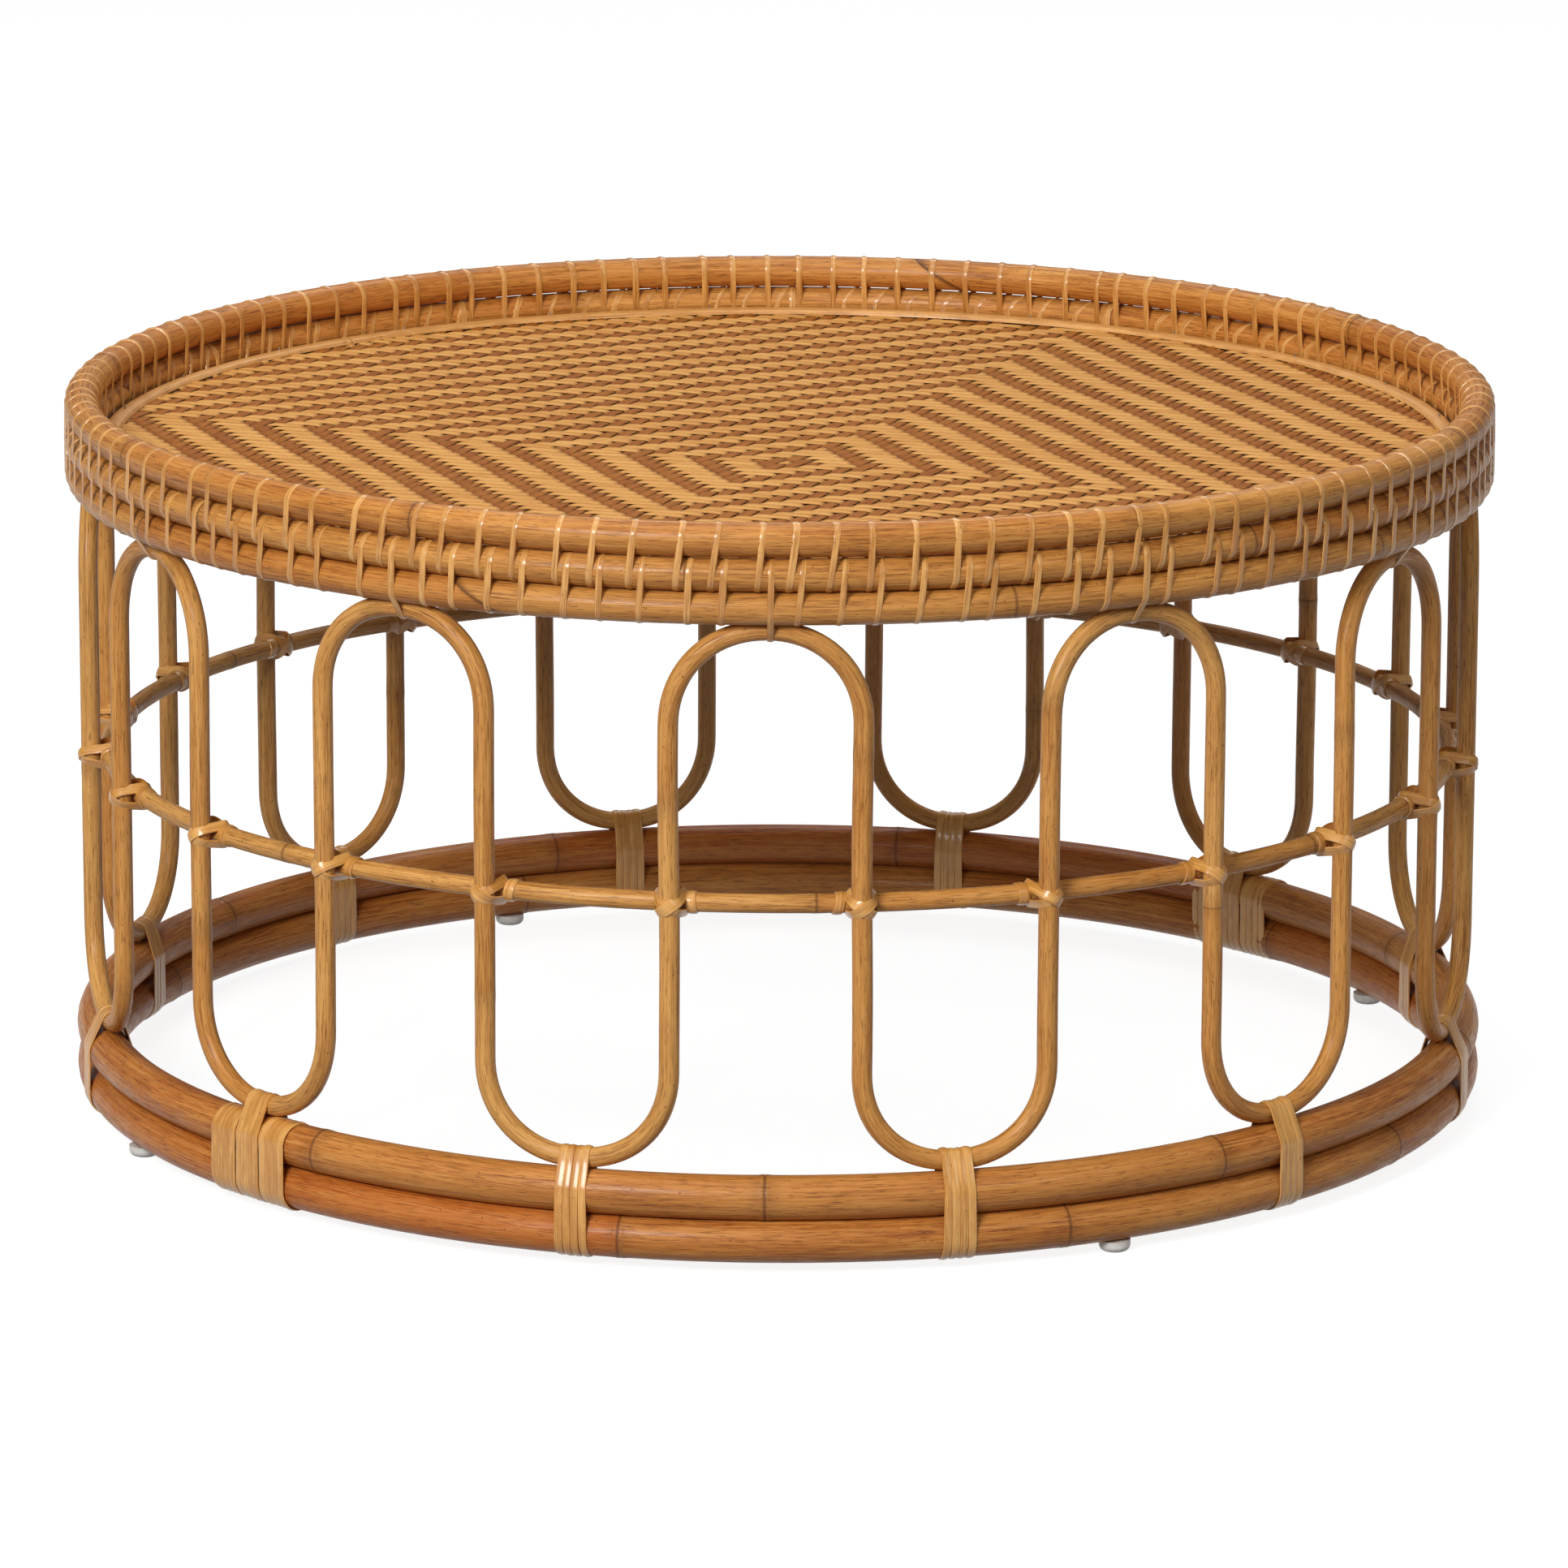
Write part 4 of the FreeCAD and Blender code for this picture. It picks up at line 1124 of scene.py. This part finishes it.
@dataclass
class WovenMat:
    """Mat of split strands woven in nested diamonds round a point off its middle."""

    middle: np.ndarray = field(default_factory=lambda: np.array((4.44, -76.9)) * MM)
    pale_step: np.ndarray = field(default_factory=lambda: np.array((7.244, -2.474)) * MM)
    dark_step: np.ndarray = field(default_factory=lambda: np.array((3.169, 7.556)) * MM)
    pale_width: float = 8.05 * MM
    dark_width: float = 7.5 * MM
    radius: float = 371.5 * MM
    shortest: float = 4.0 * MM
    thick: float = 0.72 * MM
    low: float = 0.04 * MM
    mid: float = 0.30 * MM
    over: float = 0.72 * MM
    dome: float = 0.62 * MM
    drift: float = 4.0 * MM
    drift_length: float = 420.0 * MM

    @staticmethod
    def pale_on_top(dark_count: int, pale_count: int) -> bool:
        """Whether the pale strand lies on top where two strands cross."""
        return (abs(dark_count) + abs(pale_count)) % 5 in (0, 3, 4)

    def build(self) -> None:
        """Weave both sets, each in two pieces."""
        pale, dark = Finish.PALE_STRAND, Finish.DARK_STRAND
        sets = (
            StrandSet("pale_strands", pale, self.pale_step, self.dark_step, True, self.pale_width, 31),
            StrandSet("dark_strands", dark, self.dark_step, self.pale_step, False, self.dark_width, 47),
        )
        for strands in sets:
            dice = random.Random(strands.seed)
            for part, counts in (("front", range(-70, 0)), ("back", range(0, 110))):
                piece = Piece(f"{strands.name}_{part}")
                for count in counts:
                    self.strand(piece, strands, count, dice)
                piece.dress(strands.finish, ["woven_mat"], crease=60.0)

    def hand_laid(self, plan: np.ndarray) -> np.ndarray:
        """Drift of the hand-woven bands: none at the mat's edge, a few millimetres elsewhere."""
        x, y = plan[:, 0], plan[:, 1]
        inside = np.clip(1 - (x * x + y * y) / self.radius**2, 0, 1)
        turn = 2 * math.pi / self.drift_length
        sideways = np.sin((0.9 * x + 0.5 * y) * turn + 0.6) + 0.5 * np.sin((1.9 * y - 0.8 * x) * turn + 2.1)
        onwards = np.sin((0.8 * y - 0.6 * x) * turn + 4.0) + 0.5 * np.sin((1.7 * x + 0.9 * y) * turn + 1.2)
        return plan + (self.drift * inside)[:, None] * np.stack((sideways, onwards), axis=-1)

    def section(self, width: float) -> np.ndarray:
        """Crowned section of a strand."""
        half, high = width / 2, self.thick
        shoulder, edge = 0.7 * half, 0.7 * high
        return np.array([[(-half, 0), (-shoulder, edge), (0, high), (shoulder, edge), (half, 0)]])

    def strand(self, piece: Piece, strands: StrandSet, count: int, dice: random.Random) -> None:
        """Lay one strand across the mat.

        Args:
            piece: Mesh that takes it.
            strands: Its set.
            count: Its number from the middle of the diamonds.
            dice: Source of the small differences.
        """
        size = float(np.hypot(*strands.go))
        forward = strands.go / size
        aside = np.array((-forward[1], forward[0]))
        base = self.middle + count * strands.next_over
        base = base + aside * dice.gauss(0, 0.18) * MM
        off = float(base @ aside)
        chance = dice.random()
        if abs(off) > self.radius - self.shortest:
            return
        half = math.sqrt(self.radius**2 - off * off)
        start, end = (-float(base @ forward) - half) / size, (-float(base @ forward) + half) / size
        spots, heights, widths, dip_shades = self.profile(strands, count, start, end)
        inside = (spots > start + 0.1) & (spots < end - 0.1)
        ends = np.array((start, end))
        spots = np.concatenate((ends[:1], spots[inside], ends[1:]))
        heights = np.concatenate(([self.low], heights[inside], [self.low]))
        widths = np.concatenate(([0.8], widths[inside], [0.8]))
        # The strand's cut ends take full painted shade.
        dip_shades = np.concatenate(([1.0], dip_shades[inside], [1.0]))

        board_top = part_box("tray_board")[1].z
        bow = 0.35 * MM * dice.uniform(-1, 1) * np.sin(spots / 23 + dice.uniform(0, 6))
        plan = base[None] + spots[:, None] * strands.go[None] + bow[:, None] * aside[None]
        points = np.column_stack((self.hand_laid(plan), board_top + heights))
        side = np.broadcast_to(np.append(aside, 0.0), points.shape)
        run = Run(points, side, np.broadcast_to(UP, points.shape))
        width = strands.width * dice.uniform(0.95, 1.0)
        outline = self.section(width) * np.stack((widths, np.ones_like(widths)), axis=-1)[:, None]
        wear = np.stack((dip_shades, np.full_like(dip_shades, chance), np.zeros_like(dip_shades)), axis=-1)
        piece.bend(run, outline, wear, dice.uniform(0, 9))

    def profile(self, strands: StrandSet, count: int, start: float, end: float) -> tuple[np.ndarray, ...]:
        """Rise and fall of a strand at its crossings.

        Args:
            strands: Its set.
            count: Its number.
            start: First crossing, as a broken number.
            end: Last crossing.

        Returns:
            Place, height, share of full width, and painted shade where it dips under, at each sample.
        """

        def up(cell: int) -> bool:
            """Whether this strand is on top at a crossing."""
            pale = self.pale_on_top(cell, count) if strands.pale else self.pale_on_top(count, cell)
            return pale == strands.pale

        # The last number of each row is painted shade: full where the strand lies under, less where it
        # rises, none on top.
        rows: list[tuple[float, float, float, float]] = []
        for cell in range(math.floor(start) - 1, math.ceil(end) + 2):
            here, before, after = up(cell), up(cell - 1), up(cell + 1)
            if here != before:
                rows.append((cell - 0.5, self.mid, 0.66, 0.85))
            elif here:
                rows.append((cell - 0.5, self.over + self.dome * 0.95, 1.0, 0.0))
            else:
                rows.append((cell - 0.5, self.low, 0.66, 1.0))
            if not here:
                continue
            if not before:
                rows.append((cell - 0.33, self.over, 0.84, 0.42))
                rows.append((cell - 0.12, self.over + self.dome * 0.5, 0.96, 0.08))
            crest = 0.8 if before and after else 0.75
            rows.append((cell + 0.08, self.over + self.dome * crest, 1.0, 0.0))
            if not after:
                rows.append((cell + 0.22, self.over + self.dome * 0.45, 0.95, 0.1))
                rows.append((cell + 0.36, self.over, 0.84, 0.45))
        table = np.array(rows)
        return table[:, 0], table[:, 1], table[:, 2], table[:, 3]


@dataclass
class EdgeStrip:
    """Half-round strip nailed over the mat's edge, its ends butted."""

    seam: float = 134.0
    steps: int = 480
    seed: int = 17

    def build(self) -> bpy.types.Object:
        """Bend and dress the strip."""
        dice = random.Random(self.seed)
        low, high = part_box("mat_edge_strip")
        tall = high.z - low.z
        reach = 5.0 * MM
        ring = high.x - reach
        turns = np.linspace(0.0002, 0.9998, self.steps + 1)
        angles = self.seam + 360 * turns
        inner = sway(turns, 0.35 * MM, dice, (3, 7, 12, 19))
        away = radial(angles)
        points = (ring + inner)[:, None] * away + low.z * UP
        arc = np.linspace(0, math.pi, 9)
        section = np.stack((reach * np.cos(arc), 0.62 * tall * np.sin(arc) ** 0.8), axis=-1)
        wide = 1 + sway(turns, 0.05, dice, (4, 9, 17))
        outline = section[None] * np.stack((wide, 1 + 0.5 * (wide - 1)), axis=-1)[:, None]
        run = Run(points, away, np.broadcast_to(UP, points.shape))
        tint = 0.5 + sway(turns, 0.8, dice, (2, 5, 9))
        wear = np.stack((np.ones_like(tint), tint, np.zeros_like(tint)), axis=-1)
        piece = Piece("edge_strip")
        piece.bend(run, outline, wear, dice.uniform(0, 5))
        return piece.dress(Finish.STRIP, ["mat_edge_strip"], crease=70.0)


# ---------------------------------------------------------------- the table


@dataclass
class Table:
    """The whole coffee table, sub-assembly by sub-assembly.

    glides and nails name the frame's nodes that are kept as they are, beside the board.
    """

    glides: Sequence[str] = ("glide_1", "glide_2", "glide_3", "glide_4")
    nails: Sequence[str] = (
        "glide_nails",
        "crossing_brads",
        "arch_top_brads",
        "arch_foot_brads",
        "board_brads",
        "base_pole_brads",
        "strip_pins",
    )

    def build(self) -> None:
        """Build and dress everything."""
        self.poles()
        self.tray()
        for number in range(1, ARCHES + 1):
            ArchCane(number).build()
        Knots().build()
        Bindings().build()
        self.carried_over()

    @staticmethod
    def poles() -> None:
        """Bend the five poles and the hoop."""
        tray = {"finish": Finish.TRAY, "plump": 0.17 * MM}
        falling = {**tray, "scarf_slope": -1.8}
        hoop = {"finish": Finish.ARCH, "sway_reach": 0.3 * MM, "corners": 14}
        base = {"finish": Finish.BASE, "sway_reach": 0.12 * MM, "swell": 0.45 * MM, "corners": 24}
        # The two lower poles' seeds were picked for the tone of their front lengths.
        rows = (
            ("rim_pole", "tray_rim_pole", 76.5, (-152, -118, -61, -20, 31, 120, 171), 3, tray),
            ("middle_pole", "tray_middle_pole", 166.5, (-140, -96, -50, 6, 60, 110), 5, tray),
            ("lower_pole", "tray_lower_pole", -112.5, (-149, -71, -35, 15, 70, 125), 5, falling),
            ("hoop", "middle_hoop", 99.5, (-133, -86, -40, 12, 50, 150), 9, hoop),
            ("upper_base_pole", "base_upper_pole", 45.0, (-128, -90, -52, -12, 20, 80, 112, 150), 11, base),
            ("lower_base_pole", "base_lower_pole", 225.0, (-101.3, -66, -30, 8, 40, 75, 115, 160), 431,
             base),
        )
        for name, node, scarf, joints, seed, stock in rows:
            RingPole(name, node, scarf, joints, seed, **stock).build()

    @staticmethod
    def tray() -> None:
        """Lace the poles, tie the arches, weave the mat and lay its edge strip."""
        rim, middle, lower = (Round.of(f"tray_{level}_pole") for level in ("rim", "middle", "lower"))
        _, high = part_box("arch_cane_01")
        top = Round(ARCH_RING, high.z - CANE_RADIUS, CANE_RADIUS, CANE_RADIUS)
        loops = round(360 / LOOP_STEP)
        upper = {UPPER_LOOP_ANGLE + LOOP_STEP * count: count + 1 for count in range(loops)}
        under = {LOOP_STEP * count: count for count in range(loops) if count % 10}
        ties = {SECTOR * count: 10 * count for count in range(ARCHES)}
        Lacing("rim_lacing", "upper_lacing", (rim, middle), upper, 21).build()
        WindingLacing("under_lacing", "lower_lacing", (middle, lower), under, 22, lean_out=2.6 * MM).build()
        tie = {"width": 3.8 * MM, "steps": 28, "lean_out": 1.0 * MM}
        Lacing("arch_top_ties", "arch_ties", (middle, lower, top), ties, 23, **tie).build()
        EdgeStrip().build()
        WovenMat().build()

    def carried_over(self) -> None:
        """Give the board, glides and nails of the frame their finishes."""
        hardware = {"tray_board": Finish.BOARD}
        hardware.update(dict.fromkeys(self.glides, Finish.GLIDE))
        hardware.update(dict.fromkeys(self.nails, Finish.STEEL))
        for name, finish in hardware.items():
            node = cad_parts[name]
            node.data.materials.clear()
            node.data.materials.append(MATERIALS[finish])
            log.info("%s: %s", name, finish.slot)


# ---------------------------------------------------------------- studio


@dataclass
class Studio:
    """Camera, pale floor and soft lights."""

    distance: float = 4.8306
    height: float = 1.3405
    pitch: float = 13.597
    turn: float = 1.0
    roll: float = 0.149
    lens: float = 201.6
    swing: float = -0.0345
    floor_size: float = 20.0

    def camera(self) -> None:
        """Stand the camera."""
        data = bpy.data.cameras.new("camera")
        data.lens = self.lens
        data.sensor_width = 36.0
        data.clip_end = 100.0
        made = bpy.data.objects.new("camera", data)
        bpy.context.scene.collection.objects.link(made)
        turn = math.radians(self.turn)
        spot = Vector((self.distance * math.sin(turn), -self.distance * math.cos(turn), self.height))
        made.matrix_world = (
            Matrix.Translation(spot)
            @ Matrix.Rotation(turn + math.radians(self.swing), 4, "Z")
            @ Matrix.Rotation(math.radians(90 - self.pitch), 4, "X")
            @ Matrix.Rotation(math.radians(self.roll), 4, "Z")
        )
        bpy.context.scene.camera = made

    def floor(self) -> None:
        """Lay the pale floor: it glows, and diffuse rays miss it, so that the table stays dark inside."""
        book = NodeBook("floor_finish")
        x, y, _ = book.place()
        cloud = book.noise((x * 1.5, y * 1.5, 0.0), 2.0)
        colour = book.blend(cloud, (0.24, 0.24, 0.24), (0.26, 0.26, 0.26))
        glow = book.blend(cloud, (0.99, 0.99, 0.99), (1.0, 1.0, 1.0))
        look = {"Base_Color": colour, "Roughness": 0.8, "Emission_Color": glow, "Emission_Strength": 0.87}
        material = book.surface(**look)
        plane = bmesh.new()
        bmesh.ops.create_grid(plane, x_segments=2, y_segments=2, size=self.floor_size)
        data = bpy.data.meshes.new("floor")
        plane.to_mesh(data)
        plane.free()
        data.materials.append(material)
        made = bpy.data.objects.new("floor", data)
        bpy.context.scene.collection.objects.link(made)
        made.visible_diffuse = False

    def light(self, name: str, spot: Sequence[float], size: Sequence[float], power: float) -> None:
        """Hang one soft box.

        Args:
            name: Its name.
            spot: Where it hangs; it faces the middle of the table.
            size: Width and height.
            power: Watts.
        """
        data = bpy.data.lights.new(name, "AREA")
        data.shape = "RECTANGLE"
        data.size, data.size_y = size
        data.energy = power
        made = bpy.data.objects.new(name, data)
        bpy.context.scene.collection.objects.link(made)
        made.location = spot
        made.rotation_euler = (Vector((0, 0, 0.25)) - Vector(spot)).to_track_quat("-Z", "Y").to_euler()

    @staticmethod
    def sky(tree: bpy.types.NodeTree) -> None:
        """Fill the studio with soft light, brighter from above than from below."""
        place = tree.nodes.new("ShaderNodeTexCoord")
        parts = tree.nodes.new("ShaderNodeSeparateXYZ")
        ramp = tree.nodes.new("ShaderNodeMapRange")
        path = tree.nodes.new("ShaderNodeLightPath")
        most = tree.nodes.new("ShaderNodeMath")
        most.operation = "MAXIMUM"
        ramp.inputs["From Min"].default_value = -0.3
        ramp.inputs["From Max"].default_value = 0.5
        ramp.inputs["To Min"].default_value = 0.05
        ramp.inputs["To Max"].default_value = 0.33
        tree.links.new(place.outputs["Generated"], parts.inputs[0])
        tree.links.new(parts.outputs[2], ramp.inputs["Value"])
        tree.links.new(ramp.outputs["Result"], most.inputs[0])
        tree.links.new(path.outputs["Is Camera Ray"], most.inputs[1])
        back = tree.nodes["Background"]
        back.inputs["Color"].default_value = (1.0, 1.0, 1.0, 1.0)
        tree.links.new(most.outputs[0], back.inputs["Strength"])

    def build(self) -> None:
        """Set the studio up."""
        self.camera()
        self.floor()
        self.light("top_box", (-0.3, -0.3, 3.0), (1.8, 1.8), 26.0)
        self.light("left_box", (-1.5, -3.3, 2.1), (1.3, 1.1), 114.0)
        self.light("right_box", (2.2, -2.6, 2.2), (1.2, 1.2), 12.0)
        self.light("back_box", (0.2, 2.6, 2.8), (2.0, 1.0), 22.0)
        world = bpy.data.worlds.new("studio")
        bpy.context.scene.world = world
        world.use_nodes = True
        self.sky(world.node_tree)
        bpy.context.scene.view_settings.view_transform = "Standard"


def main() -> None:
    """Build the studio and the table."""
    logging.basicConfig(level=logging.INFO, format="%(message)s")
    Studio().build()
    Table().build()


if __name__ == "__main__":
    main()
